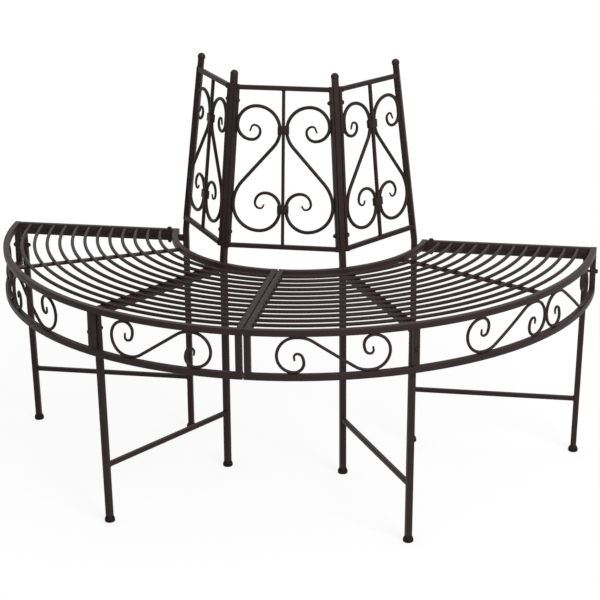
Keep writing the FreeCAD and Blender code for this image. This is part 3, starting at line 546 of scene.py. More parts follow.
# %% [markdown]
# Bars under and beside the slats
#
# A square tube closes each half of the seat at its open end, two flat bars carry the slats from below, and
# short uprights hold the apron rim under the outer rim. All of them are plain cut lengths, so the packed
# shape with softer edges is all they need. Each kind's corner follows how crisp its edges look.

# %% End bars, support bars and apron uprights
HEAVY_CORNER = 1.6 * MM
FLAT_BAR_CORNER = 0.8 * MM
dress_bars("_end_bar", HEAVY_CORNER)
dress_bars("_support_bars", FLAT_BAR_CORNER)
dress_bars("_apron_uprights", TUBE_CORNER)

# %% [markdown]
# Seam bars
#
# Where the halves meet, each ends in a straight tube. On the real bench these two run right through to the
# tree side and the inner rims stop against them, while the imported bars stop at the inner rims. The nodes
# can't change, so each bar's inner end is moved on to the tree side here, and its seam face is set back as
# far as the rims' ends are, to keep the slit even. A narrow corner keeps the slit dark and straight.

# %% Seam bars reach the tree side
SEAM_BAR_CORNER = 0.8 * MM
NEAR_THE_RIM = 4 * MM


def through_to_the_tree(points):
    """A seam bar's points, with the inner end moved to the tree side and the seam face set back."""
    moved = []
    for point in points:
        x = point.x + math.copysign(SEAM_EASE, point.x) if abs(point.x) < TUBE / 2 else point.x
        y = -inner_radius if point.y > -ring_in - NEAR_THE_RIM else point.y
        moved.append(Vector((x, y, point.z)))
    return moved


dress_bars("_seam_bar", SEAM_BAR_CORNER, through_to_the_tree)

# %% [markdown]
# Leg frames
#
# Four welded frames stand round the tree. Each has a front leg, a back post, a tube under the seat and a
# thinner brace near the ground. Frames at four angles are awkward to draw in the bench's axes, so each gets
# axes of its own, with X pointing away from the tree. Legs, top tubes and braces are straight bars.

# %% Axes of the leg frames
FRAMES = {"left_end": (180, end_line), "left_middle": (-120, 0),
          "right_middle": (-60, 0), "right_end": (0, end_line)}
BRACE = 9 * MM
BRACE_CORNER = 1.4 * MM


def frame_axes(name):
    """The frame's place: X away from the tree, Z up."""
    angle, setback = FRAMES[name]
    return Matrix.Translation((0, -setback, 0)) @ Matrix.Rotation(math.radians(angle), 4, "Z")


dress_bars("_leg", HEAVY_CORNER)
dress_bars("_top_tube", HEAVY_CORNER)
dress_bars("_brace", BRACE_CORNER)

# %% [markdown]
# Bent back posts
#
# A back post rises straight from the ground, bends at the seat and leans towards the tree. It isn't one
# straight bar, so its hull would fill the bend. A bend modifier takes an angle and limits, and not the
# radius to which a post is bent. So the post is swept: one station at the foot, some on the arc of the bend
# and one at the top, with the outline leaning a little further at each.

# %% Posts
POST_LEAN = math.radians(6.5)
BEND_RADIUS = 80 * MM
BEND_STEPS = 6
POST_ABOVE_RAIL = 20.2 * MM
post_radius = -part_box("left_end_post")[0].x - TUBE / 2
post_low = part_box("left_end_post")[0].z
top_rail = middle("middle_panel_top_rail", 2)
post_top = top_rail + POST_ABOVE_RAIL


def post_x(height):
    """How far the middle of a back post is from the tree's axis at a height."""
    return post_radius - max(0.0, height - seat_top) * math.tan(POST_LEAN)


def post_line():
    """The middle line of a post as (x, z, lean), from the foot to the top."""
    bend_start = seat_top - BEND_RADIUS * math.tan(POST_LEAN / 2)
    line = [(post_radius, post_low, 0.0)]
    for i in range(BEND_STEPS + 1):
        lean = POST_LEAN * i / BEND_STEPS
        x = post_radius - BEND_RADIUS * (1 - math.cos(lean))
        line.append((x, bend_start + BEND_RADIUS * math.sin(lean), lean))
    return line + [(post_x(post_top), post_top, POST_LEAN)]


for name in FRAMES:
    axes = frame_axes(name)
    turn = axes.to_3x3()
    stations = [(axes @ Vector((x, 0, z)), turn @ Vector((math.cos(lean), 0, math.sin(lean))), turn @ Y, 1.0)
                for x, z, lean in post_line()]
    bm = bmesh.new()
    sweep(bm, stations, soft_square(TUBE / 2, TUBE / 2, HEAVY_CORNER))
    declare(name + "_post_tube", bm, frame_coat, [name + "_post"])
print("posts:", len(FRAMES))

# %% [markdown]
# Rails, centre bars and bolted stiles
#
# Each back panel is a frame of its own: two rails, a thin centre bar and two flat stiles, which are bolted
# to the posts. Rails and centre bars keep their places. A stile isn't welded to its post, so a hairline
# slit is left between the two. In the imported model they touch. Moving a whole stile would push it into its
# rails, so only the face at the post is moved.

# %% Rails and centre bars
RAIL_CORNER = 1.2 * MM
CENTRE_BAR_CORNER = 0.7 * MM
dress_bars("_top_rail", RAIL_CORNER)
dress_bars("_bottom_rail", RAIL_CORNER)
dress_bars("_centre_bar", CENTRE_BAR_CORNER)

# %% Stiles leave a slit at the post
STILE_THICKNESS = 6 * MM
STILE_CORNER = 1.3 * MM
STILE_SLIT = 0.6 * MM


def off_the_post(points):
    """A stile's points, with the face that lies on the post moved off it by the slit."""
    for name in FRAMES:
        axes = frame_axes(name)
        local = [axes.inverted() @ point for point in points]
        sides = [point.y * math.copysign(1, local[0].y) for point in local]
        beside = TUBE / 2 - MM <= min(sides) and max(sides) <= TUBE / 2 + STILE_THICKNESS + MM
        if not beside or min(p.x for p in local) < 0:
            continue
        moved = []
        for point, side in zip(local, sides):
            if side < TUBE / 2 + STILE_THICKNESS / 2:
                point = point + Y * math.copysign(STILE_SLIT, point.y)
            moved.append(axes @ point)
        return moved
    raise ValueError("a stile stands at no post")


dress_bars("_stiles", STILE_CORNER, off_the_post)

# %% [markdown]
# Routes for the scrolls
#
# A smith bends a scroll from straight runs and arcs, each arc tighter than the last. A curve drawn by eye
# would need many handles, and none of them would be a size that could be measured on the bench. A route
# here is written as the smith works: a start, a heading and a list of moves, and the points in between come
# from the arcs. Hammering thins the ends of the rod, so its scale falls smoothly towards both tips.

# %% Walking a route of runs and bends
QUARTER = math.pi / 2
RUN_STEP, BEND_STEP = 12 * MM, math.radians(7.5)


def walk(start, heading, moves):
    """Points (x, y, heading, distance) along runs (length) and bends (radius, turn, left is positive)."""
    x, y = start
    distance = 0.0
    points = [(x, y, heading, distance)]
    for kind, size, *turns in moves:
        if kind == "run":
            steps = max(1, round(size / RUN_STEP)) if size else 0
            for _ in range(steps):
                x += size / steps * math.cos(heading)
                y += size / steps * math.sin(heading)
                distance += size / steps
                points.append((x, y, heading, distance))
            continue
        turn = turns[0]
        hand = math.copysign(1, turn)
        steps = max(2, round(abs(turn) / BEND_STEP))
        cx, cy = x - hand * size * math.sin(heading), y + hand * size * math.cos(heading)
        for _ in range(steps):
            heading += turn / steps
            x, y = cx + hand * size * math.sin(heading), cy - hand * size * math.cos(heading)
            distance += size * abs(turn) / steps
            points.append((x, y, heading, distance))
    return points


def joined(back, forward):
    """One route from two that leave the same point in opposite directions."""
    length = back[-1][3]
    tail = [(x, y, heading + math.pi, length - d) for x, y, heading, d in reversed(back[1:])]
    return tail + [(x, y, heading, length + d) for x, y, heading, d in forward]


print("stations in a quarter bend:", len(walk((0, 0), 0, [("bend", TUBE, QUARTER)])) - 1)

# %% Drawing out the ends of a rod
def drawn_out(route, lay, rod, tip, taper):
    """Stations for a round rod that thins to its tips; lay() puts a flat point in space with its axes."""
    length = route[-1][3]
    stations = []
    for x, y, heading, distance in route:
        ease = min(1.0, min(distance, length - distance) / taper)
        scale = (tip + (rod - tip) * ease * (2 - ease)) / rod
        point, along, up, out = lay(x, y)
        stations.append((point, up * math.cos(heading) - along * math.sin(heading), out, scale))
    return stations


# %% [markdown]
# Apron scrolls
#
# Between the outer rim and the apron rim stand S shapes of round rod: one alone and a pair back to back in
# each half. They are bent flat, rolled to the curve of the apron and welded where they touch the rims. A
# lattice deform could do the rolling. It is simpler to read the flat route's length as an angle round the
# tree. Both halves of an S are the same, turned by half a circle, so only one is walked: a straight run
# from the middle, a wide shoulder, a short stretch on the rim, and then a curl that tightens to the tip.

# %% Sizes of the apron scrolls
APRON_ROD = 6 * MM
APRON_ROD_TIP, APRON_TAPER = 3.8 * MM, 50 * MM
APRON_LENGTH = 208.6 * MM
APRON_HEAD = 35.4 * MM
APRON_SHOULDER = 46 * MM
APRON_TOUCH = 5 * MM
APRON_CURLS = ((17.8 * MM, 90), (29 * MM, 25), (10 * MM, 65), (6 * MM, 98))
APRON_END = 5.5 * MM
APRON_FIRST, APRON_PAIR = 165 * MM, 638.8 * MM
apron_clear = seat_top - apron_low - 2 * TUBE
apron_middle = apron_low + TUBE + apron_clear / 2
apron_half = (apron_clear - APRON_ROD) / 2
twin_offset = (APRON_LENGTH + APRON_ROD) / 2 + WELD_GAP
apron_places = ((APRON_FIRST, 1), (APRON_PAIR - twin_offset, -1), (APRON_PAIR + twin_offset, 1))
print(f"apron: {apron_clear / MM:.0f} mm between the rims, {len(apron_places)} scrolls in each half")


# %% Walking one S of the apron
def s_route():
    """Half of an apron scroll and its twin, joined in the middle."""
    head = Vector((-APRON_LENGTH / 2 + APRON_HEAD + APRON_TOUCH, apron_half - APRON_SHOULDER))
    heading = math.atan2(head.y, head.x) - math.asin(APRON_SHOULDER / head.length) + 2 * math.pi
    straight = math.sqrt(head.length ** 2 - APRON_SHOULDER ** 2)
    moves = [("run", straight), ("bend", APRON_SHOULDER, 2 * QUARTER - heading), ("run", APRON_TOUCH),
             ("bend", APRON_HEAD, QUARTER), ("bend", 2 * apron_half - APRON_HEAD, QUARTER),
             *(("bend", radius, math.radians(turn)) for radius, turn in APRON_CURLS), ("run", APRON_END)]
    route = walk((0.0, 0.0), heading, moves)
    twin = [(-x, -y, turned + math.pi, d) for x, y, turned, d in route]
    return joined(twin, route)


apron_route = s_route()
print("apron scroll:", round(apron_route[-1][3] / MM), "mm of rod")


# %% Rolling the scrolls to the apron
def apron_axes(side, distance):
    """The directions out and along at a distance round the apron from the seam."""
    turn = side * distance / rim_middle
    return Vector((math.sin(turn), -math.cos(turn), 0)), Vector((math.cos(turn), math.sin(turn), 0))


def lay_on_apron(side, centre, hand):
    """How a flat scroll point gets its place on the apron; a hand of -1 mirrors the scroll."""
    def lay(x, y):
        out, along = apron_axes(side, centre + hand * x)
        return out * rim_middle + Z * (apron_middle + y), along * (side * hand), Z, out

    return lay


for side_name, side in SIDES.items():
    bm = bmesh.new()
    for centre, hand in apron_places:
        lay = lay_on_apron(side, centre, hand)
        stations = drawn_out(apron_route, lay, APRON_ROD, APRON_ROD_TIP, APRON_TAPER)
        sweep(bm, stations, round_outline(APRON_ROD / 2, 12), APRON_ROD / 2)
    node = side_name + "_apron_scrolls"
    declare(node + "_rods", bm, scroll_coat, [node])
print("apron scrolls:", len(SIDES) * len(apron_places))

# %% [markdown]
# Panel scrolls
#
# The showpiece of each back panel is a mirrored pair of tall scrolls. Each has a loop at either end that
# reaches from the centre bar to the stile, and the two rods of a pair are tied to the centre bar by collars.
# A panel leans and narrows upwards, so its scrolls are bent in the panel's own flat axes. The loops' widths
# follow from the clear width at their height, so that they touch the stile, and the curls inside them are
# measured sizes. In the side panels the rod lies along the stile for a short way, which makes the upper
# loop oval.

# %% Flat axes of the back panels
PANELS = {"left_panel": ("left_end", "left_middle"), "middle_panel": ("left_middle", "right_middle"),
          "right_panel": ("right_middle", "right_end")}
Panel = namedtuple("Panel", "low along up out half_low half_high slope")
bottom_rail = middle("middle_panel_bottom_rail", 2)


def panel_axes(name):
    """The panel's own axes, its clear half widths at both rails and the distance between the rails."""
    left, right = PANELS[name]
    face = TUBE / 2 + STILE_THICKNESS

    def ends(height):
        return (frame_axes(left) @ Vector((post_x(height), face, height)),
                frame_axes(right) @ Vector((post_x(height), -face, height)))

    (low_a, low_b), (high_a, high_b) = ends(bottom_rail), ends(top_rail)
    low, high = (low_a + low_b) / 2, (high_a + high_b) / 2
    along, up = (low_b - low_a).normalized(), (high - low).normalized()
    return Panel(low, along, up, along.cross(up), (low_b - low_a).length / 2, (high_b - high_a).length / 2,
                 (high - low).length)


def half_at(panel, height):
    """Half of a panel's clear width at a height above the bottom rail."""
    return panel.half_low + (panel.half_high - panel.half_low) * height / panel.slope


panels = {name: panel_axes(name) for name in PANELS}
for name, panel in panels.items():
    print(f"{name}: {2 * panel.half_low / MM:.0f} mm wide below, {2 * panel.half_high / MM:.0f} mm above")

# %% Sizes of the panel scrolls
PANEL_ROD = 7 * MM
PANEL_ROD_TIP, PANEL_TAPER = 3.4 * MM, 105 * MM
CENTRE_BAR = 6 * MM
COLLAR_HEIGHT = 15.6 * MM
UPPER_COLLAR_DEPTH = 82.5 * MM
LOWER_COLLAR = 75 * MM
LOWER_LOOP_BOTTOM = 31.2 * MM
LARGE_SHARE = 0.55
NECK, HIP = 50 * MM, 70 * MM
ROUND_LOOP = {"lift": 0.0, "loop": 46.7 * MM, "hug": 0.0, "curl": (28.5 * MM, 17 * MM, 12 * MM)}
OVAL_LOOP = {"lift": 5 * MM, "loop": 43.6 * MM, "hug": 11 * MM, "curl": (20.5 * MM, 16 * MM, 9.5 * MM)}
UPPER_LOOPS = {"left_panel": OVAL_LOOP, "middle_panel": ROUND_LOOP, "right_panel": OVAL_LOOP}
# The width beside an oval loop is read this many hugs above the collar, where the rod comes to the stile.
WIDTH_READ_AT = 1.5
UPPER_TAIL = [("bend", 5.5 * MM, math.radians(68)), ("run", 8.5 * MM)]
LOWER_CURL = (28.7 * MM, 20.8 * MM, 10.5 * MM)
LOWER_TAIL = [("bend", 6 * MM, math.radians(65)), ("run", 4 * MM)]
rod_line = CENTRE_BAR / 2 + WELD_GAP + PANEL_ROD / 2
print(f"panel rods run {rod_line / MM:.1f} mm beside the panel's middle")


# %% Walking one scroll of a panel
def quarters(radii):
    """Quarter bends of these radii, one after the other."""
    return [("bend", radius, QUARTER) for radius in radii]


def panel_route(panel, upper, shape):
    """One scroll of a panel, from its lower tip to its upper tip, as the left one lies."""
    def loop_width(height):
        return half_at(panel, height) - WELD_GAP - PANEL_ROD / 2 - rod_line

    up_small = loop_width(upper + shape["hug"] * WIDTH_READ_AT) - shape["loop"]
    across = loop_width(LOWER_LOOP_BOTTOM + LARGE_SHARE * loop_width(LOWER_COLLAR))
    low_large, low_small = LARGE_SHARE * across, (1 - LARGE_SHARE) * across
    drop = upper - (LOWER_LOOP_BOTTOM + low_large)
    bends = NECK + HIP
    straight = math.sqrt((across - bends) ** 2 + drop ** 2 - bends ** 2)
    turn = math.atan2(across - bends, drop) + math.atan2(bends, straight)
    rise = LOWER_COLLAR + COLLAR_HEIGHT / 4 - (LOWER_LOOP_BOTTOM + low_small)
    start = (-rod_line, upper)
    upper_loop = [("run", shape["lift"]), *quarters([shape["loop"], up_small]), ("run", shape["hug"])]
    up_part = walk(start, QUARTER, upper_loop + quarters(shape["curl"]) + UPPER_TAIL)
    body = [("bend", NECK, -turn), ("run", straight), ("bend", HIP, turn)]
    lower_loop = [*quarters([low_large, low_small]), ("run", rise)]
    down_part = walk(start, -QUARTER, body + lower_loop + quarters(LOWER_CURL) + LOWER_TAIL)
    return joined(down_part, up_part)


# %% Bending both scrolls of every panel
def lay_on_panel(panel, hand):
    """How a flat scroll point gets its place on a panel; a hand of -1 mirrors the scroll."""
    def lay(x, y):
        return panel.low + panel.along * (hand * x) + panel.up * y, panel.along * hand, panel.up, panel.out

    return lay


for name, panel in panels.items():
    route = panel_route(panel, panel.slope - UPPER_COLLAR_DEPTH, UPPER_LOOPS[name])
    bm = bmesh.new()
    for hand in (1, -1):
        stations = drawn_out(route, lay_on_panel(panel, hand), PANEL_ROD, PANEL_ROD_TIP, PANEL_TAPER)
        sweep(bm, stations, round_outline(PANEL_ROD / 2, 14), PANEL_ROD / 2)
    declare(name + "_scroll_rods", bm, scroll_coat, [name + "_scrolls"])
    print(name, "scroll:", round(route[-1][3] / MM), "mm of rod")

# %% [markdown]
# Folded collars
#
# A collar is a strip of thin steel, heated and folded round the centre bar and the rods beside it. Its
# outside is a box with soft corners, and the cut edges of the strip are rounded over by the coat. A torus
# would be too round, and a bevelled box would have no rim, so six rings are skinned and closed on
# themselves: out along the lower rim, up the outside and back in at the upper rim.

# %% Collars
COLLAR_WALL = 1 * MM
COLLAR_PLAY = 0.15 * MM
COLLAR_CORNER = 1.2 * MM
RIM_RISE, RIM_SHARE = 0.5 * MM, 0.75
PACKED_ROD_SIDES = 6
half_in = rod_line + PANEL_ROD / 2 + COLLAR_PLAY
deep_in = PANEL_ROD / 2 / math.cos(math.pi / PACKED_ROD_SIDES) + COLLAR_PLAY


def add_collar(bm, panel, height):
    """A collar round the middle of a panel, at a height above the bottom rail."""
    half = COLLAR_HEIGHT / 2
    rings = []
    for rise, share in ((-half, 0.0), (-half, RIM_SHARE), (-half + RIM_RISE, 1.0), (half - RIM_RISE, 1.0),
                        (half, RIM_SHARE), (half, 0.0)):
        grow = COLLAR_WALL * share
        centre = panel.low + panel.up * (height + rise)
        outline = soft_square(half_in + grow, deep_in + grow, COLLAR_CORNER + grow)
        rings.append([centre + panel.along * u + panel.out * v for u, v in outline])
    skin(bm, rings, closed=True)


for name, panel in panels.items():
    bm = bmesh.new()
    for height in (LOWER_COLLAR, panel.slope - UPPER_COLLAR_DEPTH):
        add_collar(bm, panel, height)
    declare(name + "_collar_bands", bm, scroll_coat, [name + "_collars"])
print("collars:", 2 * len(panels))

# %% [markdown]
# Balls on the posts
#
# A small steel ball closes each post. A sphere primitive would sit on the tube like a marble, so the ball is
# turned like a knob: its profile starts with the flat that is welded to the tube, runs up the side of the
# ball and stops just short of the crown. The same lathe helper makes the feet and the bolts after it.

# %% Turning a profile
def lathe(bm, base, axis, profile, sides=24, flats=None):
    """Turns (radius, height) pairs round an axis. With flats, the ring is a polygon of that many sides."""
    u = axis.orthogonal().normalized()
    v = axis.cross(u).normalized()
    rings = []
    for radius, height in profile:
        ring = []
        for i in range(sides):
            turn = 2 * math.pi * i / sides
            reach = radius
            if flats:
                sector = math.pi / flats
                reach = min(radius * math.cos(sector) / math.cos((turn % (2 * sector)) - sector), radius)
            ring.append(base + axis * height + u * (reach * math.cos(turn)) + v * (reach * math.sin(turn)))
        rings.append(ring)
    skin(bm, rings)


# %% Balls
BALL = 8 * MM
BALL_SEAT = 6.9 * MM
BALL_RINGS, CROWN_SHARE = 14, 0.3
ball_middle = math.sqrt(BALL ** 2 - BALL_SEAT ** 2)
seat_turn = math.atan2(-ball_middle, BALL_SEAT)
ball_profile = [(BALL_SEAT, 0.0)]
for i in range(1, BALL_RINGS + 1):
    latitude = seat_turn + (QUARTER - seat_turn) * i / (BALL_RINGS + CROWN_SHARE)
    ball_profile.append((BALL * math.cos(latitude), ball_middle + BALL * math.sin(latitude)))
bm = bmesh.new()
for name in FRAMES:
    axes = frame_axes(name)
    up_the_post = (axes.to_3x3() @ Vector((-math.sin(POST_LEAN), 0, math.cos(POST_LEAN)))).normalized()
    lathe(bm, axes @ Vector((post_x(post_top), 0, post_top)), up_the_post, ball_profile, sides=28)
declare("post_ball_turnings", bm, frame_coat, ["post_balls"])
print("balls:", len(FRAMES))

# %% [markdown]
# Rubber feet
#
# A moulded cap closes the foot of every leg and post and keeps it off the paving. Seen close, it is round
# and ball-like, with a rolled sole and a side that draws in to the tube. A cylinder would look like a slice
# of pipe, so it is turned too. Its outline goes up from the sole in pairs of radius and height: a small roll,
# an upright belly, and a side that leans in to the tube.

# %% Feet
FOOT_BELLY, FOOT_HEIGHT = 10.25 * MM, 10.9 * MM
FOOT_PROFILE = [(8.0 * MM, 0.0), (9.3 * MM, 0.3 * MM), (10.0 * MM, 1.1 * MM), (FOOT_BELLY, 2.5 * MM),
                (FOOT_BELLY, 4.3 * MM), (10.1 * MM, 5.8 * MM), (9.7 * MM, 7.3 * MM), (9.1 * MM, 8.6 * MM),
                (8.55 * MM, 9.7 * MM), (8.15 * MM, 10.6 * MM), (7.9 * MM, FOOT_HEIGHT),
                (6.0 * MM, FOOT_HEIGHT)]
for which in ("front", "back"):
    bm = bmesh.new()
    node = which + "_foot_caps"
    for points in solids_of(node):
        centre = middle_of(points)
        lathe(bm, Vector((centre.x, centre.y, 0)), Z, FOOT_PROFILE, sides=36)
    declare(node + "_moulded", bm, foot_rubber, [node])
print("feet:", 2 * len(FRAMES), "of", round(2 * FOOT_BELLY / MM, 1), "mm across")

# %% [markdown]
# Bolts and cap nuts
#
# Bolts with low domed heads hold the sections to the leg frames and the panels to the posts, and each ends
# in a six-sided cap nut with a dome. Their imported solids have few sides, but they hold the exact places and
# directions. So each bolt is turned along its own solid, the wide end first, and each nut is set on the
# nearest bolt's line. A hexagon is the same lathe with its radius cut back to the flats.

# %% Profiles of bolt and nut
HEAD_RADIUS, HEAD_HEIGHT = 4.9 * MM, 5 * MM
SHANK = 2.4 * MM
HEAD_PROFILE = [(HEAD_RADIUS, 0.0), (HEAD_RADIUS, 1.2 * MM), (4.75 * MM, 2.2 * MM), (4.3 * MM, 3.1 * MM),
                (3.6 * MM, 3.9 * MM), (2.6 * MM, 4.5 * MM), (1.4 * MM, 4.88 * MM), (0.4 * MM, 4.98 * MM)]
NUT_PROFILE = [(HEAD_RADIUS, 0.0), (HEAD_RADIUS, 2.6 * MM), (4.1 * MM, 2.9 * MM)]
CAP_PROFILE = [(3.9 * MM, 2.8 * MM), (3.8 * MM, 3.6 * MM), (3.4 * MM, 4.5 * MM), (2.6 * MM, 5.3 * MM),
               (1.5 * MM, 5.8 * MM), (0.5 * MM, 5.97 * MM)]
print(f"bolt heads {HEAD_PROFILE[-1][1] / MM:.2f} mm high, cap nuts {CAP_PROFILE[-1][1] / MM:.2f} mm")


# %% Finding the ends of a bolt
def long_ends(points):
    """Both ends of a bolt along its own axis, the wide end first."""
    axis, _ = long_axis(points)
    centre = middle_of(points)
    spans = [(p - centre).dot(axis) for p in points]
    low_end, high_end = centre + axis * min(spans), centre + axis * max(spans)
    wide = max(points, key=lambda p: ((p - centre) - axis * (p - centre).dot(axis)).length)
    if (wide - low_end).length < (wide - high_end).length:
        return low_end, high_end
    return high_end, low_end


# %% Bolts and nuts
def dress_bolts(kind):
    """Turns all bolts of one kind, and gives the line of each as (under the head, direction)."""
    bm = bmesh.new()
    lines = []
    for points in solids_of(kind + "_bolts"):
        head_end, tip = long_ends(points)
        outward = (head_end - tip).normalized()
        under = head_end - outward * HEAD_HEIGHT
        lathe(bm, under, outward, HEAD_PROFILE)
        lathe(bm, tip, outward, [(SHANK, 0.0), (SHANK, (under - tip).length)], sides=12)
        lines.append((under, -outward))
    declare(kind + "_bolts_domed", bm, bolt_coat, [kind + "_bolts"])
    return lines


def dress_nuts(kind, lines):
    """Turns all cap nuts of one kind, each on the bolt line that is nearest to it."""
    bm = bmesh.new()
    for points in solids_of(kind + "_cap_nuts"):
        centre = middle_of(points)
        start, outward = min(lines, key=lambda line: ((centre - line[0]).cross(line[1])).length)
        seat = start + outward * min((p - start).dot(outward) for p in points)
        lathe(bm, seat, outward, NUT_PROFILE, flats=6)
        lathe(bm, seat, outward, CAP_PROFILE)
    declare(kind + "_cap_nuts_domed", bm, bolt_coat, [kind + "_cap_nuts"])


for kind in ("seat", "panel"):
    bolt_lines = dress_bolts(kind)
    dress_nuts(kind, bolt_lines)
    print(kind, "bolts and cap nuts:", len(bolt_lines))

# %% [markdown]
# Weld beads
#
# The pieces of each section, frame and panel are welded before they are coated, and the coat doesn't hide
# the beads. A bump in the material can't cross from one piece to the next, so the beads are thin rods of
# their own, laid half into the corner of a joint. A weld pool freezes in ripples, so the bead swells and
# shrinks from ring to ring, with a little chance in it. The chance is seeded, so that every run welds alike.

# %% Laying a bead
RIPPLE = 1.9 * MM
RIPPLE_SWELL, RIPPLE_CHANCE = 0.13, 0.06
END_SIZE, END_GROWTH = 0.45, 0.3
chance = random.Random(11)


def bead(bm, path, radius, closed=False):
    """A rippled thread of weld along a path of points."""
    points = []
    count = len(path)
    for i in range(count if closed else count - 1):
        a, b = path[i], path[(i + 1) % count]
        steps = max(1, round((b - a).length / (RIPPLE / 2)))
        points += [a.lerp(b, k / steps) for k in range(steps)]
    if not closed:
        points.append(path[-1])
    rings = []
    for i, point in enumerate(points):
        before = points[i - 1] if closed or i else point
        after = points[(i + 1) % len(points)] if closed or i < len(points) - 1 else point
        forward = (after - before).normalized()
        u = forward.orthogonal().normalized()
        v = forward.cross(u)
        swell = 1 + RIPPLE_SWELL * math.cos(math.pi * i) + chance.uniform(-RIPPLE_CHANCE, RIPPLE_CHANCE)
        fade = 1.0 if closed else min(1.0, END_SIZE + END_GROWTH * min(i, len(points) - 1 - i))
        rings.append([point + (u * a + v * b) * (radius * swell * fade) for a, b in round_outline(1.0, 8)])
    align(rings)
    skin(bm, rings, closed=closed)


def align(rings):
    """Turns each ring so that its first point is the nearest to the ring before."""
    for i in range(1, len(rings)):
        first = rings[i - 1][0]
        start = min(range(len(rings[i])), key=lambda k: (rings[i][k] - first).length)
        turned = rings[i][start:] + rings[i][:start]
        flipped = [turned[0]] + turned[:0:-1]
        near = sum((a - b).length for a, b in zip(turned, rings[i - 1]))
        far = sum((a - b).length for a, b in zip(flipped, rings[i - 1]))
        rings[i] = turned if near <= far else flipped


# %% Paths for beads
BEAD_REACH = 5 * MM


def square_path(centre, u, v, half):
    """The corners of a square round a joint."""
    return [centre + u * (a * half) + v * (b * half) for a, b in ((1, 1), (-1, 1), (-1, -1), (1, -1))]


def circle_path(centre, u, v, radius, count=12):
    """Points on a circle round the end of a rod."""
    return [centre + u * a + v * b for a, b in round_outline(radius, count)]


def short_path(centre, along):
    """Both ends of a short bead beside a joint."""
    return [centre - along * BEAD_REACH, centre + along * BEAD_REACH]


# %% [markdown]
# Welds of the seat
#
# Every slat is welded all round at both ends, with thicker beads at the seam than at the open end. A scroll
# has two short beads where it lies on a rim, and an upright has two at either end. The beads could be copies
# of one, but then all their ripples would match. They are laid in a fixed order, so that each draws the same
# chance in every run.

# %% Seat welds
SEAM_BEAD, END_BEAD, ROD_BEAD, UPRIGHT_BEAD = 1.25 * MM, 0.8 * MM, 0.9 * MM, 1.04 * MM
BESIDE_ROD = 0.3 * APRON_ROD
AT_THE_END, AT_THE_SEAM = 0.9 * outer_radius, 30 * MM


def weld_slats(bm, side):
    """A ring of weld round both ends of every slat."""
    for radius in slat_radii:
        seam_end = Vector((side * seam_face, -math.sqrt(radius ** 2 - seam_face ** 2), slat_level))
        open_end = Vector((side * math.sqrt(radius ** 2 - end_face ** 2), -end_face, slat_level))
        bead(bm, circle_path(seam_end, Y, Z, SLAT / 2), SEAM_BEAD, closed=True)
        bead(bm, circle_path(open_end, X, Z, SLAT / 2), END_BEAD, closed=True)


def weld_apron_scrolls(bm, side):
    """Two short beads at both places where an apron scroll lies on a rim."""
    touch = APRON_LENGTH / 2 - APRON_HEAD
    for centre, hand in apron_places:
        for x, rim in ((-touch, 1), (touch, -1)):
            out, along = apron_axes(side, centre + hand * x)
            for edge in (-1, 1):
                joint = out * (rim_middle + edge * BESIDE_ROD)
                joint += Z * (apron_middle + rim * apron_clear / 2)
                bead(bm, short_path(joint, along), ROD_BEAD)


def weld_uprights(bm, side_name):
    """Two short beads at each end of an upright, square to the face that it shows."""
    for points in solids_of(side_name + "_apron_uprights"):
        centre = middle_of(points)
        out = Vector((centre.x, centre.y, 0)).normalized()
        if abs(centre.x) > AT_THE_END:
            out = X * math.copysign(1, centre.x)
        if abs(centre.x) < AT_THE_SEAM:
            out = -Y
        for height in (apron_low + TUBE, seat_top - TUBE):
            for edge in (-1, 1):
                joint = Vector((centre.x, centre.y, height)) + Z.cross(out) * (edge * TUBE / 2)
                bead(bm, short_path(joint, out), UPRIGHT_BEAD)


for side_name, side in SIDES.items():
    bm = bmesh.new()
    weld_slats(bm, side)
    weld_apron_scrolls(bm, side)
    weld_uprights(bm, side_name)
    welds = declare(side_name + "_seat_welds", bm, weld_coat)
    print(welds.name, len(welds.data.polygons), "faces")

# %% [markdown]
# Welds of the frames and panels
#
# Top tubes and braces are welded all round where they meet the leg and the post, and so are the rails where
# they meet the stiles and the centre bar where it meets the rails. A scroll has two short beads at each loop
# that touches a stile. Joints could be read off a picture of the model, but then a changed size would leave
# its bead behind. They are worked out from the bars' own ends and the panel's axes instead.

# %% Frame welds
TUBE_BEAD = 1.105 * MM


def weld_frames(bm):
    """A ring of weld round both ends of every top tube and brace."""
    for name in FRAMES:
        for ending, half in (("_top_tube", TUBE / 2), ("_brace", BRACE / 2)):
            points = solids_of(name + ending)[0]
            axis, ends = long_axis(points)
            spans = [(p - ends[0]).dot(axis) for p in points]
            flat = axis.cross(Z).normalized()
            for span in (min(spans), max(spans)):
                path = square_path(ends[0] + axis * span, flat, axis.cross(flat), half)
                bead(bm, path, TUBE_BEAD, closed=True)


bm = bmesh.new()
weld_frames(bm)
frame_welds = declare("frame_welds", bm, weld_coat)
print(frame_welds.name, len(frame_welds.data.polygons), "faces")

# %% Panel welds
RAIL = 9 * MM
RAIL_BEAD, CENTRE_BAR_BEAD = 1.04 * MM, 0.91 * MM
LOOP_BEAD_IN, LOOP_BEAD_SIDE = 0.4 * MM, 2 * MM


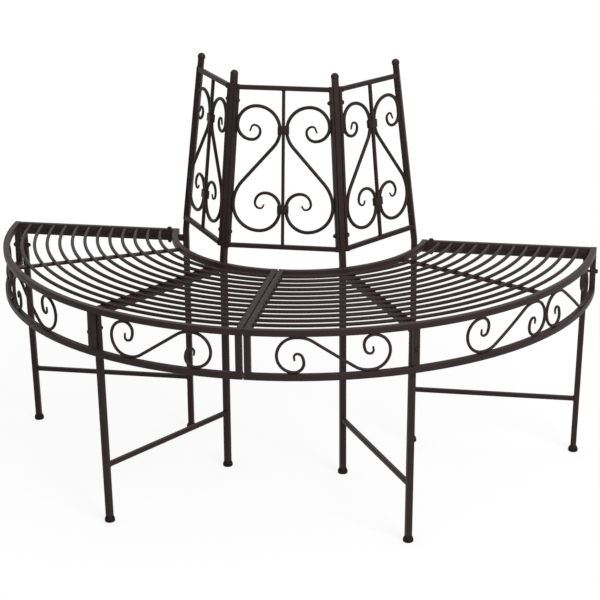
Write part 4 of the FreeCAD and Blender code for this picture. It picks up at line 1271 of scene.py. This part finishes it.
def weld_panel(bm, panel):
    """The beads of one panel: at the rails, at the centre bar and where the loops touch the stiles."""
    low, along, up, out, half_low, half_high, slope = panel
    for height, half in ((0.0, half_low), (slope, half_high)):
        for hand in (-1, 1):
            path = square_path(low + up * height + along * (hand * half), up, out, RAIL / 2)
            bead(bm, path, RAIL_BEAD, closed=True)
    for height in (RAIL / 2, slope - RAIL / 2):
        bead(bm, square_path(low + up * height, along, out, CENTRE_BAR / 2), CENTRE_BAR_BEAD, closed=True)
    lower_loop = LOWER_LOOP_BOTTOM + LARGE_SHARE * (half_low - 2 * rod_line)
    for height in (slope - UPPER_COLLAR_DEPTH, lower_loop):
        reach = half_at(panel, height) - LOOP_BEAD_IN
        for hand in (-1, 1):
            for edge in (-1, 1):
                joint = low + up * height + along * (hand * reach) + out * (edge * LOOP_BEAD_SIDE)
                bead(bm, short_path(joint, up), ROD_BEAD)


for name, panel in panels.items():
    bm = bmesh.new()
    weld_panel(bm, panel)
    panel_welds = declare(name + "_welds", bm, weld_coat)
    print(panel_welds.name, len(panel_welds.data.polygons), "faces")

# %% [markdown]
# White floor
#
# The photograph shows the bench on plain white, with hardly a shadow. More light would wash out the dark
# coat, so the floor glows white only to the rays of the camera and of reflections, which Light Path tells
# apart, and is plain white paint to all other rays. Near the bench a share of the paint shows through the
# glow and takes the soft shadow, and the share fades out away from it.

# %% What the camera and the reflections see
def sees_white(tree):
    """1 for camera, glossy and transmission rays, 0 for the rest."""
    path = add(tree, "ShaderNodeLightPath")
    either = add(tree, "ShaderNodeMath", operation="MAXIMUM")
    any_of_three = add(tree, "ShaderNodeMath", operation="MAXIMUM")
    tree.links.new(path.outputs["Is Camera Ray"], either.inputs[0])
    tree.links.new(path.outputs["Is Glossy Ray"], either.inputs[1])
    tree.links.new(either.outputs[0], any_of_three.inputs[0])
    tree.links.new(path.outputs["Is Transmission Ray"], any_of_three.inputs[1])
    return any_of_three.outputs[0]


# %% Floor
FLOOR_SIZE = 12.0
FLOOR_WHITE = 0.92
SHADOW_SHARE = 0.18
SHADOW_NEAR, SHADOW_FAR = 0.7, 1.5


def floor_paint():
    """White paint under a glow that only some rays see."""
    material = bpy.data.materials.new("white_floor")
    material.use_nodes = True
    tree = material.node_tree
    tree.nodes.clear()
    link = tree.links.new
    out = add(tree, "ShaderNodeOutputMaterial")
    paint = add(tree, "ShaderNodeBsdfDiffuse", Color=(FLOOR_WHITE, FLOOR_WHITE, FLOOR_WHITE, 1))
    glow = add(tree, "ShaderNodeEmission", Strength=1.0)
    place = add(tree, "ShaderNodeTexCoord")
    distance = add(tree, "ShaderNodeVectorMath", operation="LENGTH")
    link(place.outputs["Object"], distance.inputs[0])
    fade = add(tree, "ShaderNodeMapRange", interpolation_type="SMOOTHSTEP", From_Min=SHADOW_NEAR,
               From_Max=SHADOW_FAR, To_Min=1 - SHADOW_SHARE, To_Max=1.0)
    link(distance.outputs["Value"], fade.inputs["Value"])
    share = add(tree, "ShaderNodeMath", operation="MULTIPLY")
    link(sees_white(tree), share.inputs[0])
    link(fade.outputs[0], share.inputs[1])
    mix = add(tree, "ShaderNodeMixShader")
    link(share.outputs[0], mix.inputs[0])
    link(paint.outputs[0], mix.inputs[1])
    link(glow.outputs[0], mix.inputs[2])
    link(mix.outputs[0], out.inputs["Surface"])
    return material


def make_floor():
    """A wide square floor."""
    bm = bmesh.new()
    bmesh.ops.create_grid(bm, x_segments=1, y_segments=1, size=FLOOR_SIZE / 2)
    mesh = bpy.data.meshes.new("floor")
    bm.to_mesh(mesh)
    bm.free()
    mesh.materials.append(floor_paint())
    floor = bpy.data.objects.new("floor", mesh)
    bpy.context.scene.collection.objects.link(floor)


make_floor()
print("floor:", FLOOR_SIZE, "m wide")

# %% [markdown]
# The room
#
# A studio's white walls light an object softly from all sides. Modelled walls would stand in the way of
# some views, so the world itself is the room: white to the camera and in reflections, and dimmer as a light,
# so that the coat keeps its depth.

# %% World
WORLD_LIGHT = 0.62
world = bpy.data.worlds.new("studio")
bpy.context.scene.world = world
world.use_nodes = True
room = world.node_tree.nodes["Background"]
room.inputs["Color"].default_value = (1, 1, 1, 1)
strength = add(world.node_tree, "ShaderNodeMapRange", To_Min=WORLD_LIGHT, To_Max=1.0)
world.node_tree.links.new(sees_white(world.node_tree), strength.inputs["Value"])
world.node_tree.links.new(strength.outputs[0], room.inputs["Strength"])
print("world light:", WORLD_LIGHT)

# %% [markdown]
# Lamps
#
# Dark satin bars show their roundness by the soft line of light along each of them. A broad lamp from the
# front right draws that line, and a weak one from above lifts the tops of the bars. A sun lamp would make
# the lines hard and thin, so both are square area lamps, larger than the bench and aimed at its seat.

# %% Key and top lamp
AIM = (0, -0.2, 0.4)


def softbox(name, place, size, power):
    """A square area lamp that looks at the seat."""
    lamp = bpy.data.lights.new(name, "AREA")
    lamp.shape = "SQUARE"
    lamp.size = size
    lamp.energy = power
    obj = bpy.data.objects.new(name, lamp)
    obj.location = place
    obj.rotation_euler = (Vector(AIM) - Vector(place)).to_track_quat("-Z", "Y").to_euler()
    bpy.context.scene.collection.objects.link(obj)


softbox("key", (2.6, -3.0, 2.6), size=2.0, power=150)
softbox("top", (-0.4, 0.6, 3.2), size=2.5, power=20)
print("lamps:", len(bpy.data.lights))

# %% [markdown]
# Camera
#
# The camera was solved from the photograph: the half circle of the seat, the upright posts and the level
# rims fix where it stood, how it was turned and how long its lens was. Blender counts a lens in millimetres
# on a sensor, so the focal length in pixels is scaled by the sensor's width. The picture's optical middle
# lies a little beside the middle of the frame, and a small shift stands for that.

# %% Camera and colours as they are written
CAMERA_PLACE = (0.673371, -3.807729, 1.619602)
CAMERA_PITCH, CAMERA_ROLL, CAMERA_YAW = -18.892, 0.052, 8.882
FOCAL_PIXELS, FRAME_PIXELS = 1929.312, 600
CENTRE_PIXEL = (337.425, 300.874)
SENSOR_WIDTH, FAR_CLIP = 36, 50
camera_data = bpy.data.cameras.new("camera")
camera_data.sensor_width = SENSOR_WIDTH
camera_data.lens = SENSOR_WIDTH * FOCAL_PIXELS / FRAME_PIXELS
camera_data.shift_x = (FRAME_PIXELS / 2 - CENTRE_PIXEL[0]) / FRAME_PIXELS
camera_data.shift_y = (CENTRE_PIXEL[1] - FRAME_PIXELS / 2) / FRAME_PIXELS
camera_data.clip_end = FAR_CLIP
camera = bpy.data.objects.new("camera", camera_data)
bpy.context.scene.collection.objects.link(camera)
camera.location = CAMERA_PLACE
camera.rotation_euler = (math.radians(90 + CAMERA_PITCH), math.radians(CAMERA_ROLL), math.radians(CAMERA_YAW))
bpy.context.scene.camera = camera
bpy.context.scene.view_settings.view_transform = "Standard"
print("lens:", round(camera_data.lens, 1), "mm")
